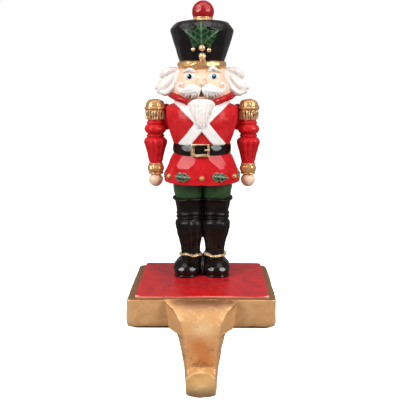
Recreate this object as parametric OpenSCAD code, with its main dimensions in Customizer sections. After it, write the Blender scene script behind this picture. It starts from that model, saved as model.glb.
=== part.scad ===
// Mantel stocking holder: a carved-look nutcracker soldier that stands on a block,
// with a flared tongue that drops over the mantel's edge and ends in a stocking hook.
// The soldier, block, tongue and hook are one painted casting. A thin foam pad is
// glued under the block. Millimetres, +Z up, front towards -Y. The origin is the
// middle of the pad's underside, where the holder rests on the mantel.

/* [Block] */
// Width of the block
base_w = 100; // [84:1:130]
// Depth of the block, front to back
base_d = 90; // [84:1:120]
// Height of the block, without the pad
base_h = 19.3; // [15:0.1:25]
// Fall of the block's top from front to back
base_fall = 1.6; // [0:0.1:3]
// Radius of the block's back corners, seen from above
back_corner_r = 6; // [2:0.5:12]
// Radius of the block's front corners, seen from above
front_corner_r = 1.5; // [1:0.5:6]
// Height of the red panel above the block's front edge
panel_rise = 1; // [0.6:0.1:4]
// Width of the bare ledge beside the panel
panel_side = 4.5; // [2:0.5:10]
// Width of the bare ledge in front of the panel
panel_front = 5.5; // [2:0.5:10]
// Width of the bare ledge behind the panel
panel_back = 2; // [1:0.5:6]
// Thickness of the foam pad
pad_t = 1; // [0.5:0.1:3]
// Distance from the block's edge to the pad's edge
pad_inset = 1.4; // [0.5:0.1:6]

/* [Tongue and hook] */
// Width of the tongue where it leaves the block's top edge
flare_w = 50; // [36:1:70]
// Width of the tongue's front face at its neck
neck_w = 21; // [16:0.5:28]
// Distance from the tongue's back to its front face
tongue_t = 14; // [10:0.5:20]
// Gap between the block's front and the tongue's back face
tongue_step = 1; // [0.5:0.5:4]
// Drop from the pad's underside to the side edges of the hook's bottom
hook_drop = 36; // [34:1:60]
// Clear width of the hook's throat, front to back
throat_w = 13; // [9:0.5:20]
// Depth of the throat below the top of the hook's tip
throat_depth = 11; // [8:0.5:16]
// Thickness of the hook's tip
tip_t = 8; // [5:0.5:12]
// Thickness of the hook under its throat
hook_floor = 10; // [7:0.5:14]
// Width of the hook's tip
tip_w = 18.6; // [12:0.2:24]

/* [Legs] */
// Distance from the block's front to the soldier's axis
soldier_setback = 62; // [56:1:66]
// Length of a shoe
shoe_l = 31; // [26:1:36]
// Width of a shoe
shoe_w = 19; // [16:0.5:22]
// Height of a shoe's toe
shoe_h = 12.6; // [10:0.2:15]
// Distance from the soldier's middle to the middle of an ankle
ankle_x = 8.8; // [8.5:0.1:11]
// Shift of both legs to the viewer's right
leg_shift = 0.6; // [-1:0.1:1]
// Radius of an ankle
ankle_r = 7.5; // [6:0.1:8.4]
// Distance from the soldier's middle to the middle of a calf
calf_x = 10; // [9:0.1:11]
// Radius of a calf at its fullest
calf_r = 10.8; // [9:0.1:12]
// Height of the top of the boots above the panel
boot_top = 56.7; // [50:0.1:66]
// Height of the green trousers above the boots
trouser_h = 12.5; // [8:0.5:20]

/* [Coat] */
// Half width of the coat's skirt at its hem
hem_r = 27.8; // [24:0.2:32]
// Half width of the waist
waist_r = 20.4; // [17:0.2:23]
// Height of the coat's skirt
skirt_h = 21.5; // [16:0.5:28]
// Height of the black belt
belt_h = 7.2; // [5:0.2:10]
// Thickness of the belt and of the cross straps
strap_t = 1.2; // [0.8:0.1:2]
// Width of the cross straps
strap_w = 7.2; // [4.5:0.1:8.5]
// Height from the belt to the shoulders
chest_h = 30; // [25:0.5:36]
// Half width of the chest at its fullest
chest_r = 26; // [22:0.2:29]
// Width of the buckle
buckle_w = 13.6; // [10:0.2:16]

/* [Arms] */
// Radius of the sleeve at its fullest
sleeve_r = 8.2; // [6.5:0.1:9.5]
// Radius of an epaulette
epaulette_r = 7.3; // [6:0.1:8.5]
// Radius of a hand
hand_r = 5.3; // [4:0.1:6.5]
// Length of an arm, from the epaulette's top to the hand's lowest point
arm_l = 63.5; // [56:0.5:70]

/* [Head and hat] */
// Height of the face
face_h = 22; // [18:0.5:26]
// Half width of the face at the cheeks
cheek_r = 20.9; // [18:0.1:23]
// Half width of the hair at its widest
hair_r = 32.4; // [28:0.2:35]
// Height of the gold hat band
band_h = 5.6; // [4:0.1:8]
// Half width of the hat band
band_r = 17.7; // [15:0.1:20]
// Height of the hat above its band
hat_h = 27.4; // [20:0.2:36]
// Half width of the hat at its widest
hat_r = 22.6; // [19:0.1:26]
// Radius of the red bobble on the hat
bobble_r = 7.8; // [5:0.1:9]
// Shift of the bobble to the viewer's right
bobble_shift = 0.8; // [-1.5:0.1:1.5]

/* [Hidden] */

sides = 20; // sides of a turned or lofted form
fine = 8; // sides of a bead
bury = 1; // how far a form reaches into the one that carries it
leg_turn = 8; // turn of the legs' facets

base_top = pad_t + base_h;
panel_top = base_top + panel_rise;
block_front = -base_d / 2;
soldier_y = block_front + soldier_setback;

// Heights in the soldier's own frame, whose zero is the panel's top
anklet_z = shoe_h + 1.9;
cuff_z = boot_top - 1.2;
calf_z = boot_top - 21;
hem_z = boot_top + trouser_h;
belt_z = hem_z + skirt_h;
chest_z = belt_z + belt_h;
shoulder_z = chest_z + chest_h;
chin_z = shoulder_z + 0.6;
band_z = chin_z + face_h;
hat_z = band_z + band_h;
hat_top_z = hat_z + hat_h;
rim_z = hat_top_z - 7;
arm_top_z = shoulder_z + 1.4;
arm_x = chest_r + epaulette_r + 0.4;

shoe_x = ankle_x + 2.4;
shoe_mid = 1.5;

// Colours of the paint
BLACK = [0.06, 0.055, 0.055];
RED = [0.75, 0.07, 0.09];
GREEN = [0.11, 0.27, 0.13];
GOLD = [0.72, 0.52, 0.27];
WHITE = [0.93, 0.92, 0.9];
FLESH = [0.93, 0.74, 0.6];

// One level ring of a loft, as an ellipse or, with a power over 2, a squarer oval.
// A groove depth over 0 sets every other point in by that share of the radius.
function ring(z, rx, ry, cy = 0, cx = 0, n = sides, power = 2, depth = 0) =
    [for (i = [0 : n - 1])
        let (a = 360 * (i + 0.5) / n + wander(z), c = cos(a), s = sin(a),
             k = 1 - depth * (i % 2))
        [cx + k * rx * sign(c) * pow(abs(c), 2 / power),
         cy + k * ry * sign(s) * pow(abs(s), 2 / power),
         z]];

// Carved facets don't line up exactly from one ring to the next
function wander(z) = 1.4 * sin(83 * z + 20);

// A closed solid through a list of rings that all have the same number of points
module loft(rings) {
    n = len(rings[0]);
    m = len(rings);
    polyhedron(
        points = [for (r = rings) each r],
        faces = concat(
            [[for (i = [0 : n - 1]) i]],
            [for (k = [0 : m - 2], i = [0 : n - 1])
                [k * n + i, (k + 1) * n + i, (k + 1) * n + (i + 1) % n]],
            [for (k = [0 : m - 2], i = [0 : n - 1])
                [k * n + i, (k + 1) * n + (i + 1) % n, k * n + (i + 1) % n]],
            [[for (i = [n - 1 : -1 : 0]) (m - 1) * n + i]]),
        convexity = 6);
}

// A loft through keys of [height, half width, half depth, forward shift, groove depth].
// Stacked lofts of one form share the key where they meet. A lean of [slope, height]
// moves each ring sideways by the slope, counted from that height.
module body_loft(keys, n = sides, power = 2, grow = 0, lean = [0, 0]) {
    loft([for (k = keys)
        ring(k[0], k[1] + grow, k[2] + grow, cy = -k[3], cx = lean[0] * (k[0] - lean[1]),
             n = n, power = power, depth = is_undef(k[4]) ? 0 : k[4])]);
}

// A turned form from keys of [height, radius, groove depth]
module turned(keys, n = 16, lean = [0, 0]) {
    body_loft([for (k = keys) [k[0], k[1], k[1], 0, k[2]]], n = n, lean = lean);
}

function last(list) = list[len(list) - 1];

// A tapered tube along a path of [x, z, half height, half depth, y] that faces the front
module horn(path, n = 8) {
    m = len(path);
    loft([for (k = [0 : m - 1])
        let (p = path[k], a = path[max(k - 1, 0)], b = path[min(k + 1, m - 1)],
             d = [b[0] - a[0], b[1] - a[1]] / norm([b[0] - a[0], b[1] - a[1]]))
        [for (i = [0 : n - 1])
            let (t = 360 * (i + 0.5) / n)
            [p[0] - d[1] * p[2] * cos(t), p[4] - p[3] * sin(t), p[1] + d[0] * p[2] * cos(t)]]]);
}

module bead(r) {
    sphere(r, $fn = fine);
}

module both_sides() {
    children();
    mirror([1, 0, 0]) children();
}

// Outline of a holly leaf: a spine of length l with pointed lobes on both sides
module leaf_outline(l, w) {
    lobes = [[0, 0.2], [0.27, 1], [0.42, 0.5], [0.6, 0.95], [0.76, 0.34], [1, 0.02]];
    top = [for (p = lobes) [p[0] * l, p[1] * w / 2]];
    bottom = [for (i = [len(lobes) - 1 : -1 : 0]) [lobes[i][0] * l, -lobes[i][1] * w / 2]];
    polygon(concat(top, bottom));
}

// Outline of the block seen from above
module block_outline(inset) {
    w = base_w / 2 - inset;
    d = base_d / 2 - inset;
    hull() {
        for (x = [-1, 1]) {
            translate([x * (w - front_corner_r), -d + front_corner_r])
                circle(front_corner_r, $fn = 16);
            translate([x * (w - back_corner_r), d - back_corner_r])
                circle(back_corner_r, $fn = 24);
        }
    }
}

module foam_pad() {
    w = base_w / 2 - pad_inset;
    d = base_d / 2 - pad_inset;
    r = back_corner_r;
    color([0.05, 0.05, 0.05]) linear_extrude(pad_t) union() {
        translate([-w + r, -d]) square([2 * (w - r), 2 * d]);
        translate([-w, -d + r]) square([2 * w, 2 * (d - r)]);
        for (x = [-1, 1], y = [-1, 1])
            translate([x * (w - r), y * (d - r)]) circle(r, $fn = 32);
    }
}

module block() {
    edge = 2.6;
    color(GOLD) difference() {
        hull() {
            translate([0, 0, pad_t]) linear_extrude(0.1) block_outline(0.8);
            translate([0, 0, pad_t + edge]) linear_extrude(base_h - edge) block_outline(0);
        }
        // The top falls away from the front edge to the back
        translate([-base_w, block_front, base_top])
            rotate([-atan(base_fall / base_d), 0, 0])
                translate([0, -base_d, 0])
                    cube([2 * base_w, 3 * base_d, base_h]);
    }
}

module panel() {
    w = base_w - 2 * panel_side;
    d = base_d - panel_front - panel_back;
    root = base_top - base_fall - bury;
    color(RED) hull() {
        translate([-w / 2 - 0.4, block_front + panel_front - 0.4, root])
            cube([w + 0.8, d + 0.8, panel_top - root - 0.5]);
        translate([-w / 2 + 0.3, block_front + panel_front + 0.3, root])
            cube([w - 0.6, d - 0.6, panel_top - root]);
    }
}

// One slice of the tongue or hook, from its back edge (rear) to its front edge (front),
// both given as [y, z]. wb and wf are the half widths at the back and at the front.
// The back is crowned and the front dished, by shares of the slice's thickness.
function slice(rear, front, wb, wf, dish = 0, crown = 0.01) =
    let (mid = 0.4 * wb + 0.6 * wf,
         at = function(x, t) [x, rear[0] + (front[0] - rear[0]) * t,
                              rear[1] + (front[1] - rear[1]) * t])
    [at(wb, 0), at(wb * 0.5, -crown * 0.75), at(0, -crown), at(-wb * 0.5, -crown * 0.75),
     at(-wb, 0), at(-mid, 0.5), at(-wf, 1),
     at(-wf * 0.5, 1 - 0.8 * dish), at(0, 1 - dish), at(wf * 0.5, 1 - 0.8 * dish),
     at(wf, 1), at(mid, 0.5)];

// Slices of the tongue, from the block's top edge down to the start of the hook's bend.
// Each key is [height, half width at the back, at the front, share of the thickness].
function tongue_slices() =
    let (f = flare_w / 2, n = neck_w / 2, h = base_top, reach = tongue_t + tongue_step,
         keys = [
            [h - 0.05, f, f * 0.99, 0.03],
            [0.97 * h, f, f * 0.95, 0.16],
            [0.89 * h, f * 0.99, f * 0.85, 0.38],
            [0.77 * h, f * 0.98, (f + n) / 2, 0.58],
            [0.6 * h, f * 0.97, n * 1.46, 0.75],
            [0.38 * h, f * 0.955, n * 1.27, 0.88],
            [0.14 * h, f * 0.94, n * 1.14, 0.96],
            [pad_t, f * 0.91, n * 1.09, 0.98],
            [pad_t - 0.3, f * 0.9, n * 1.09, 0.98],
            [-0.06 * hook_drop, f * 0.69, n * 1.06, 0.995],
            [-0.14 * hook_drop, n * 1.42, n * 1.04, 1],
            [-0.3 * hook_drop, n * 1.3, n * 1.0, 1],
            [bend_z, n * 1.2, n * 0.95, 1]])
    [for (k = keys) slice([k[0] < pad_t ? tongue_back : block_front + bury, k[0]],
                          [block_front - reach * k[3], k[0]], k[1], k[2], 0.06 * k[3])];

// Slices that swing round the middle of the throat, from the tongue to the tip
function bend_slices() =
    let (r = throat_w / 2, steps = 8)
    [for (i = [1 : steps])
        let (t = i / steps, a = 180 * t, fade = pow(1 - t, 2),
             thick = tongue_t * fade + 2 * hook_floor * t * (1 - t) + tip_t * t * t,
             wb = neck_w * 0.6 * fade + tip_w * 0.5 * (1 - fade),
             wf = neck_w * 0.475 * fade + tip_w * 0.47 * (1 - fade))
        slice([bend_y + (r + thick) * cos(a), bend_z - (r + thick) * sin(a)],
              [bend_y + r * cos(a), bend_z - r * sin(a)], wb, wf, crown = 0.01 + 0.2 * sin(a))];

// Slices of the tip, which ends in an arch like a thumb's. Each key is
// [share of the height above the bend, share of the width, share of the thickness].
function tip_slices() =
    let (r = throat_w / 2, w = tip_w / 2,
         keys = [[0.3, 0.87, 1], [0.6, 0.7, 0.96], [0.82, 0.5, 0.88], [0.95, 0.3, 0.76], [1, 0.13, 0.6]])
    [for (k = keys)
        let (z = bend_z + (tip_z - bend_z) * k[0], trim = (1 - k[2]) * tip_t / 2)
        slice([bend_y - r - tip_t + trim, z], [bend_y - r - trim, z], w * k[1], w * 0.94 * k[1])];

tongue_back = block_front - tongue_step;
throat_floor_z = -hook_drop + hook_floor;
bend_z = throat_floor_z + throat_w / 2;
bend_y = tongue_back - tongue_t - throat_w / 2;
tip_z = throat_floor_z + throat_depth;

module tongue_and_hook() {
    color(GOLD) loft([for (s = concat(tongue_slices(), bend_slices(), tip_slices()))
        [for (i = [len(s) - 1 : -1 : 0]) s[i]]]);
}

module shoe() {
    w = shoe_w / 2;
    color(BLACK) translate([shoe_x, 0, 0]) {
        body_loft([[-bury, w, shoe_l / 2, shoe_mid], [1, w, shoe_l / 2, shoe_mid],
                   [shoe_h * 0.3, w - 0.2, shoe_l / 2 - 0.2, shoe_mid],
                   [shoe_h * 0.58, w - 0.8, shoe_l / 2 - 1.2, shoe_mid],
                   [shoe_h * 0.8, w - 2.4, shoe_l / 2 - 3.6, shoe_mid - 0.6],
                   [shoe_h * 0.94, w - 4.6, shoe_l / 2 - 6.8, shoe_mid - 1.6],
                   [shoe_h, w - 6.8, shoe_l / 2 - 10, shoe_mid - 2.4]], n = 14);
    }
}

// Black fill that joins the shoes at their heels and sides
module shoe_web() {
    half_w = shoe_x - shoe_w / 2 + 2.4;
    color(BLACK) body_loft([
        [-bury, half_w, shoe_l * 0.34, 0], [shoe_h * 0.45, half_w - 0.3, shoe_l * 0.33, 0],
        [shoe_h * 0.75, half_w - 1, shoe_l * 0.26, -1], [shoe_h * 0.9, half_w - 2.4, shoe_l * 0.14, -2]],
        n = 10);
}

// Heights and radii up a leg. Each list starts where the one before it ends.
ankle_keys = [[shoe_h * 0.5, ankle_r - 0.4], [anklet_z - 1.4, ankle_r - 0.2]];
anklet_keys = [[anklet_z - 0.7, ankle_r + 1.7], [anklet_z + 0.6, ankle_r + 1.8],
               [anklet_z + 1.3, ankle_r]];
boot_keys = [[calf_z - 11, ankle_r + 1.5, 0.08], [calf_z - 4, calf_r - 0.5, 0.1],
             [calf_z, calf_r, 0.08], [calf_z + 2.6, calf_r - 0.7, 0.06],
             [calf_z + 4.2, calf_r - 2], [calf_z + 5.4, calf_r - 0.8],
             [calf_z + 6.8, calf_r - 1.8], [calf_z + 8.8, calf_r - 0.4],
             [calf_z + 10.4, calf_r - 1.5], [cuff_z - 2.2, calf_r - 0.1],
             [cuff_z, calf_r + 1.5], [boot_top - 0.3, calf_r + 0.9], [boot_top, calf_r - 0.8]];
trouser_keys = [[boot_top + 3.4, calf_r + 0.2], [hem_z - 3, calf_r + 0.7],
                [hem_z + 3, calf_r + 0.5]];

// A leg from ankle to trousers. The facets of both legs turn the same way, as a
// hand-carved pair's would, so they aren't mirror images.
module leg(side) {
    spread = [side * (calf_x - ankle_x) / (boot_top - shoe_h), shoe_h];
    translate([side * ankle_x, 0, 0]) rotate(leg_turn * (2 + side)) {
        color(BLACK) turned(ankle_keys, lean = spread);
        color(GOLD) turned(concat([last(ankle_keys)], anklet_keys), lean = spread);
        color(BLACK) turned(concat([last(anklet_keys)], boot_keys), lean = spread);
        color(GREEN) turned(concat([last(boot_keys)], trouser_keys), lean = spread);
    }
}

// Heights, half widths and half depths up the coat, in the same way
skirt_keys = [[hem_z, hem_r - 0.6, hem_r * 0.88 - 0.6, 0], [hem_z + 0.9, hem_r, hem_r * 0.88, 0],
              [hem_z + skirt_h * 0.3, hem_r - 0.9, hem_r * 0.86 - 0.4, 0.2],
              [hem_z + skirt_h * 0.65, (hem_r + waist_r) / 2 + 0.6, hem_r * 0.78, 0.4],
              [hem_z + skirt_h * 0.9, waist_r + 1.4, waist_r * 0.95 + 1, 0.6],
              [belt_z, waist_r, waist_r * 0.95, 0.6]];
belt_keys = [[belt_z + 0.4, waist_r + strap_t, waist_r * 0.95 + strap_t, 0.6],
             [chest_z - 0.4, waist_r + strap_t, waist_r * 0.95 + strap_t, 0.7],
             [chest_z, waist_r + 0.2, waist_r * 0.95 + 0.2, 0.8]];
chest_keys = [[chest_z + chest_h * 0.25, waist_r * 0.5 + chest_r * 0.5, waist_r * 0.98, 1.2],
              [chest_z + chest_h * 0.55, chest_r - 0.5, waist_r, 1.4],
              [chest_z + chest_h * 0.8, chest_r, waist_r * 0.92, 1],
              [chest_z + chest_h * 0.875, chest_r - 0.3, waist_r * 0.84, 0.6],
              [shoulder_z - 2.7, chest_r - 2.5, waist_r * 0.72, 0.1],
              [shoulder_z - 2.2, waist_r + 0.4, waist_r * 0.66, -0.1],
              [shoulder_z + 0.4, waist_r - 2.4, waist_r * 0.56, -0.6]];

module skirt() {
    color(RED) body_loft(skirt_keys);
}

module belt() {
    color(BLACK) body_loft(concat([last(skirt_keys)], belt_keys));
}

module chest(grow = 0) {
    color(RED) body_loft(concat([last(belt_keys)], chest_keys), grow = grow);
}

module buckle() {
    h = belt_h + 2.4;
    y = -waist_r * 0.95 - strap_t - 1;
    bar = 0.95;
    corners = [[-buckle_w / 2, -h / 2], [-buckle_w / 2, h / 2],
               [buckle_w / 2, h / 2], [buckle_w / 2, -h / 2]];
    color(GOLD) translate([0, y, belt_z + belt_h / 2]) {
        for (i = [0 : 3])
            hull() {
                for (c = [corners[i], corners[(i + 1) % 4]])
                    translate([c[0], 0.012 * c[0] * c[0], c[1]])
                        rotate([90, 0, 0]) cylinder(r = bar, h = 2.2, center = true, $fn = 8);
            }
        // Prong, from the right bar to the middle
        hull() {
            translate([buckle_w / 2, 0.4, 0]) sphere(0.8, $fn = 8);
            translate([buckle_w / 4, 0, 0]) sphere(0.6, $fn = 8);
        }
    }
}

// White cross straps, cut from the chest's own shape a strap thickness larger
module cross_straps() {
    cross = [0, chest_z + chest_h * 0.5];
    hip = [chest_r * 0.54, chest_z - 2];
    shoulder = [chest_r * 0.62, shoulder_z + 1.5];
    color(WHITE) intersection() {
        chest(strap_t);
        rotate([90, 0, 0]) linear_extrude(3 * chest_r, center = true) both_sides() {
            for (end = [hip, shoulder])
                hull() {
                    translate(cross) circle(strap_w / 2, $fn = 8);
                    translate(end) circle(strap_w / 2, $fn = 8);
                }
        }
        translate([-chest_r * 2, -chest_r * 2, chest_z + 0.6])
            cube([chest_r * 4, chest_r * 4, chest_h * 1.2]);
    }
}

// Red collar, a roll that drops from the neck to both sides of the beard
module collar() {
    z = chin_z;
    color(RED) {
        body_loft([[z - 5, cheek_r - 1, waist_r * 0.66, 0], [z - 1, cheek_r + 1, waist_r * 0.68, 0],
                   [z + 2.6, cheek_r, waist_r * 0.62, -1], [z + 3.6, cheek_r - 3, waist_r * 0.5, -1]],
                  n = 16);
        both_sides() horn([
            [22.4, z + 2.6, 1.4, 1.6, -3], [19.5, z + 1.6, 2.4, 2.6, -8], [15, z - 0.4, 2.6, 2.8, -13],
            [10.5, z - 2.6, 2.6, 2.6, -17], [6, z - 5, 1.6, 1.8, -18.5]]);
    }
}

beard_l = chest_h * 0.61;

module beard() {
    top = chin_z + 1;
    l = beard_l;
    color(WHITE) body_loft([for (k = [
            [-l, 4.6, 1.4], [-l + 1, 5.5, 2.4], [-l * 0.62, 6.5, 3.2], [-l * 0.41, 8.2, 3.6],
            [-l * 0.23, 9.8, 3.8], [-l * 0.07, 8.2, 3.4], [0, 5, 1.8]])
        [top + k[0], k[1], k[2], waist_r * 0.93 + 0.6, 0.08]], n = 20);
}

face_keys = [[chin_z - 2.6, cheek_r * 0.6, cheek_r * 0.5, 0],
             [chin_z + 0.4, cheek_r * 0.84, cheek_r * 0.72, 0.2],
             [chin_z + face_h * 0.18, cheek_r * 0.98, cheek_r * 0.83, 0.4],
             [chin_z + face_h * 0.36, cheek_r, cheek_r * 0.85, 0.4],
             [chin_z + face_h * 0.62, cheek_r * 0.95, cheek_r * 0.82, 0.2],
             [chin_z + face_h * 0.86, cheek_r * 0.86, cheek_r * 0.78, 0],
             [band_z + bury, cheek_r * 0.8, cheek_r * 0.76, 0]];

module face() {
    color(FLESH) {
        body_loft(face_keys, n = sides, power = 2.15);
        // Nose
        translate([-0.4, -cheek_r * 0.85 - 1, chin_z + face_h * 0.585]) hull() {
            sphere(2.9, $fn = 8);
            translate([0, 2.4, 3.2]) sphere(1.4, $fn = 8);
        }
        // Lower lip
        translate([-0.4, -cheek_r * 0.8, chin_z + 2.6]) scale([1.5, 1, 0.8]) sphere(2.2, $fn = 8);
    }
}

module eyes() {
    z = chin_z + face_h * 0.76;
    both_sides() translate([8.6, -cheek_r * 0.74, z]) rotate([0, 0, 24]) {
        color(WHITE) scale([1, 0.45, 0.75]) sphere(3.7, $fn = 8);
        color([0.1, 0.2, 0.25]) translate([0, -1, 0]) scale([1, 0.6, 1]) sphere(1.6, $fn = 8);
    }
}

module brows() {
    z = chin_z + face_h * 0.96;
    color(WHITE) both_sides() horn([
        [3.9, z - 1.4, 0.5, 0.6, -cheek_r * 0.8 + 0.6], [6, z, 1.3, 1.4, -cheek_r * 0.76],
        [8.8, z + 0.4, 1.4, 1.4, -cheek_r * 0.72], [12.4, z - 0.9, 0.5, 0.7, -cheek_r * 0.64]]);
}

module moustache() {
    z = chin_z + face_h * 0.32;
    y = -cheek_r * 0.88;
    color(WHITE) both_sides() horn([
        [0.6, z + 1.3, 1.4, 1.4, y - 0.2], [2.4, z + 0.5, 3.6, 2.4, y - 0.5],
        [5.3, z + 0.2, 4.4, 3, y], [8.4, z - 0.4, 3.8, 2.8, y + 1.4],
        [11.2, z - 0.8, 2.7, 2.4, y + 3], [14, z - 0.3, 1.8, 1.9, y + 5],
        [16.6, z + 1.2, 1.4, 1.5, y + 7.4], [17, z + 4, 1.2, 1.3, y + 8],
        [15.4, z + 5.8, 0.8, 0.9, y + 6.4]], n = 8);
}

// Hair: a bob round the back of the head, and locks that flip out at both sides
module hair() {
    h = face_h;
    z = chin_z;
    wide = hair_r - 5;
    color(WHITE) {
        body_loft([for (k = [[0.04, 0.8, 0.42], [0.16, 1, 0.52], [0.34, 1.04, 0.56],
                             [0.6, 0.95, 0.57], [0.86, 0.86, 0.55], [1.01, 0.66, 0.5]])
            [z + k[0] * h, wide * k[1], hair_r * k[2], -4, 0.05]], n = 24, power = 1.8);
        both_sides() {
            // Upper curl, from the temple
            horn([[hair_r - 15.4, z + h * 0.9, 2.6, 3.6, -3], [hair_r - 10.4, z + h * 0.86, 3.4, 4.6, -1],
                  [hair_r - 6, z + h * 0.84, 3.2, 4, 1], [hair_r - 3.2, z + h * 0.89, 2.2, 2.8, 2],
                  [hair_r - 2.4, z + h * 0.98, 1.3, 1.8, 2]]);
            // Long lock that ends in the widest flip
            horn([[hair_r - 13.8, z + h * 0.84, 2.4, 3.6, -5], [hair_r - 9.8, z + h * 0.64, 3.4, 4.8, -4],
                  [hair_r - 6.4, z + h * 0.44, 4, 5.2, -3], [hair_r - 3.2, z + h * 0.31, 3.8, 4.8, -2],
                  [hair_r - 0.6, z + h * 0.37, 2.7, 3.6, -1], [hair_r - 0.1, z + h * 0.5, 1.4, 2, -1]]);
            // Short lock over the collar
            horn([[hair_r - 12.8, z + h * 0.56, 2.6, 3.6, -6], [hair_r - 10.6, z + h * 0.34, 3.4, 4.4, -6],
                  [hair_r - 7.2, z + h * 0.16, 3.3, 4, -5], [hair_r - 4, z + h * 0.13, 2.3, 3, -4],
                  [hair_r - 2, z + h * 0.22, 1.2, 1.6, -4]]);
        }
    }
}

// Heights and radii up an arm, measured down from the top of the epaulette.
// Each list starts where the one before it ends.
hand_keys = [[-1, 0.34], [-0.965, 0.8], [-0.915, 1], [-0.87, 0.86]];
cuff_keys = [[-0.852, 0.86], [-0.828, 1.04], [-0.79, 1.14], [-0.755, 1.08], [-0.73, 0.84]];
sleeve_keys = [[-0.695, 0.62], [-0.56, 0.88, 0.08], [-0.48, 1.05, 0.08], [-0.44, 0.9, 0.06],
               [-0.41, 0.62], [-0.37, 0.66], [-0.332, 0.96, 0.04], [-0.285, 0.66],
               [-0.235, 0.64]];
epaulette_keys = [[-0.222, 0.95, 0.08], [-0.14, 1, 0.12], [-0.118, 0.94], [-0.1, 1.05],
                  [-0.08, 0.97], [-0.025, 0.78], [0, 0.4]];

function arm_run(keys, r) = [for (k = keys) [arm_top_z + k[0] * arm_l, k[1] * r, k[2]]];

module arm() {
    hand = arm_run(hand_keys, hand_r);
    cuff = arm_run(cuff_keys, hand_r);
    sleeve = arm_run(sleeve_keys, sleeve_r);
    epaulette = arm_run(epaulette_keys, epaulette_r);
    translate([arm_x, -1, 0]) {
        color(FLESH) turned(hand);
        color(GOLD) turned(concat([last(hand)], cuff));
        color(RED) turned(concat([last(cuff)], sleeve));
        color(GOLD) turned(concat([last(sleeve)], epaulette));
    }
}

// Web that joins an upper arm to the coat
module armpit() {
    color(RED) translate([chest_r - 0.6, 0, shoulder_z - 11.8]) scale([1, 1.4, 2.1]) sphere(4.6, $fn = 8);
}

// Heights and radii up the hat. Each list starts where the one before it ends.
band_keys = [[band_z - 0.4, band_r * 0.82], [band_z + 0.4, band_r * 0.95],
             [band_z + band_h * 0.42, band_r], [band_z + band_h * 0.78, band_r * 0.97],
             [hat_z, band_r * 0.88]];
hat_keys = [[(hat_z + rim_z) / 2, (band_r * 0.88 + hat_r) / 2 - 0.4], [rim_z, hat_r],
            [hat_top_z - 4, hat_r * 0.965], [hat_top_z - 1.8, hat_r * 0.88],
            [hat_top_z - 0.4, hat_r * 0.7], [hat_top_z, bobble_r * 1.1]];
ferrule_keys = [[hat_top_z - bury, bobble_r], [hat_top_z + 0.6, bobble_r * 0.98],
                [hat_top_z + 1.7, bobble_r * 0.86],
                [hat_top_z + 3, bobble_r * 0.92], [hat_top_z + 3.5, bobble_r * 0.7]];

module hat_band() {
    color(GOLD) turned(band_keys);
}

module hat(grow = 0) {
    color(BLACK) turned([for (k = concat([last(band_keys)], hat_keys)) [k[0], k[1] + grow]]);
}

module ferrule() {
    color(GOLD) turned(ferrule_keys);
}

// Red bobble on the ferrule, as a stack of rings of a ball
module bobble() {
    color(RED) turned(concat([last(ferrule_keys)], [for (t = [-42 : 26.4 : 90])
        [hat_top_z + bobble_r * (0.78 + sin(t)) + 0.3, bobble_r * max(cos(t), 0.12)]]));
}

// Three holly leaves and gold berries on the hat's front
module hat_holly() {
    z0 = hat_z + hat_h * 0.36;
    color(GREEN) intersection() {
        hat(1.2);
        translate([0, 0, z0]) rotate([90, 0, 0]) linear_extrude(2 * hat_r)
            union() {
                rotate(90) leaf_outline(hat_h * 0.6, 9.5);
                rotate(42) leaf_outline(hat_h * 0.62, 9.5);
                rotate(138) leaf_outline(hat_h * 0.62, 9.5);
            }
    }
    y = -band_r * 0.9;
    color(GOLD) {
        translate([0.3, y - 1.2, z0 - 1.4]) bead(2.3);
        translate([-6, y - 0.2, z0 - 1.6]) bead(1.6);
        translate([5.6, y - 0.2, z0 - 2.2]) bead(1.6);
        translate([0.4, y - 0.4, hat_z + 3.2]) bead(2.6);
        for (x = [-1, 1.2])
            translate([x + 0.4, y - 0.6, hat_z + 0.3]) bead(1.1);
    }
}

// Beads and holly leaves that alternate round the hem
module hem_trim() {
    z = hem_z + skirt_h * 0.23;
    leaf_l = hem_r * 0.4;
    skirt_slope = atan((hem_r - waist_r) / skirt_h) * 0.6;
    for (i = [0 : 11]) {
        a = 30 * i;
        if (i % 2 == 0)
            color(GOLD) translate([(hem_r - 0.6) * sin(a), -(hem_r * 0.87 - 0.6) * cos(a), z]) bead(2.2);
        else
            // A leaf lies on the skirt's slope, half sunk into it
            color(GREEN) translate([(hem_r - 0.9) * sin(a), -(hem_r * 0.87 - 0.7) * cos(a), z])
                rotate([0, 0, atan2(0.87 * sin(a), cos(a))]) rotate([90 - skirt_slope, 0, 0])
                    linear_extrude(3.4, center = true) translate([-leaf_l / 2, 0])
                        leaf_outline(leaf_l, 7.4);
    }
}

module soldier() {
    both_sides() shoe();
    translate([leg_shift, 0, 0]) {
        shoe_web();
        for (side = [-1, 1])
            leg(side);
    }
    both_sides() {
        arm();
        armpit();
    }
    skirt();
    hem_trim();
    chest();
    belt();
    buckle();
    cross_straps();
    collar();
    beard();
    face();
    eyes();
    brows();
    moustache();
    hair();
    hat();
    hat_band();
    translate([bobble_shift, 0, 0]) {
        ferrule();
        bobble();
    }
    hat_holly();
}

module cast_holder() {
    union() {
        block();
        panel();
        tongue_and_hook();
        translate([0, soldier_y, panel_top]) soldier();
    }
}

cast_holder();
foam_pad();
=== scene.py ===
"""Looks of a mantel stocking holder: a painted nutcracker soldier on a block with a hook.

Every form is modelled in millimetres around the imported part, brushed with a procedural
paint, and set in a plain studio. The soldier's own frame has its zero on the red panel.
"""

import logging
import math
from dataclasses import dataclass, field, replace
from enum import Enum
from typing import Callable, Sequence

import bmesh
import bpy
import numpy as np
from mathutils import Matrix, Vector, noise


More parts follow.
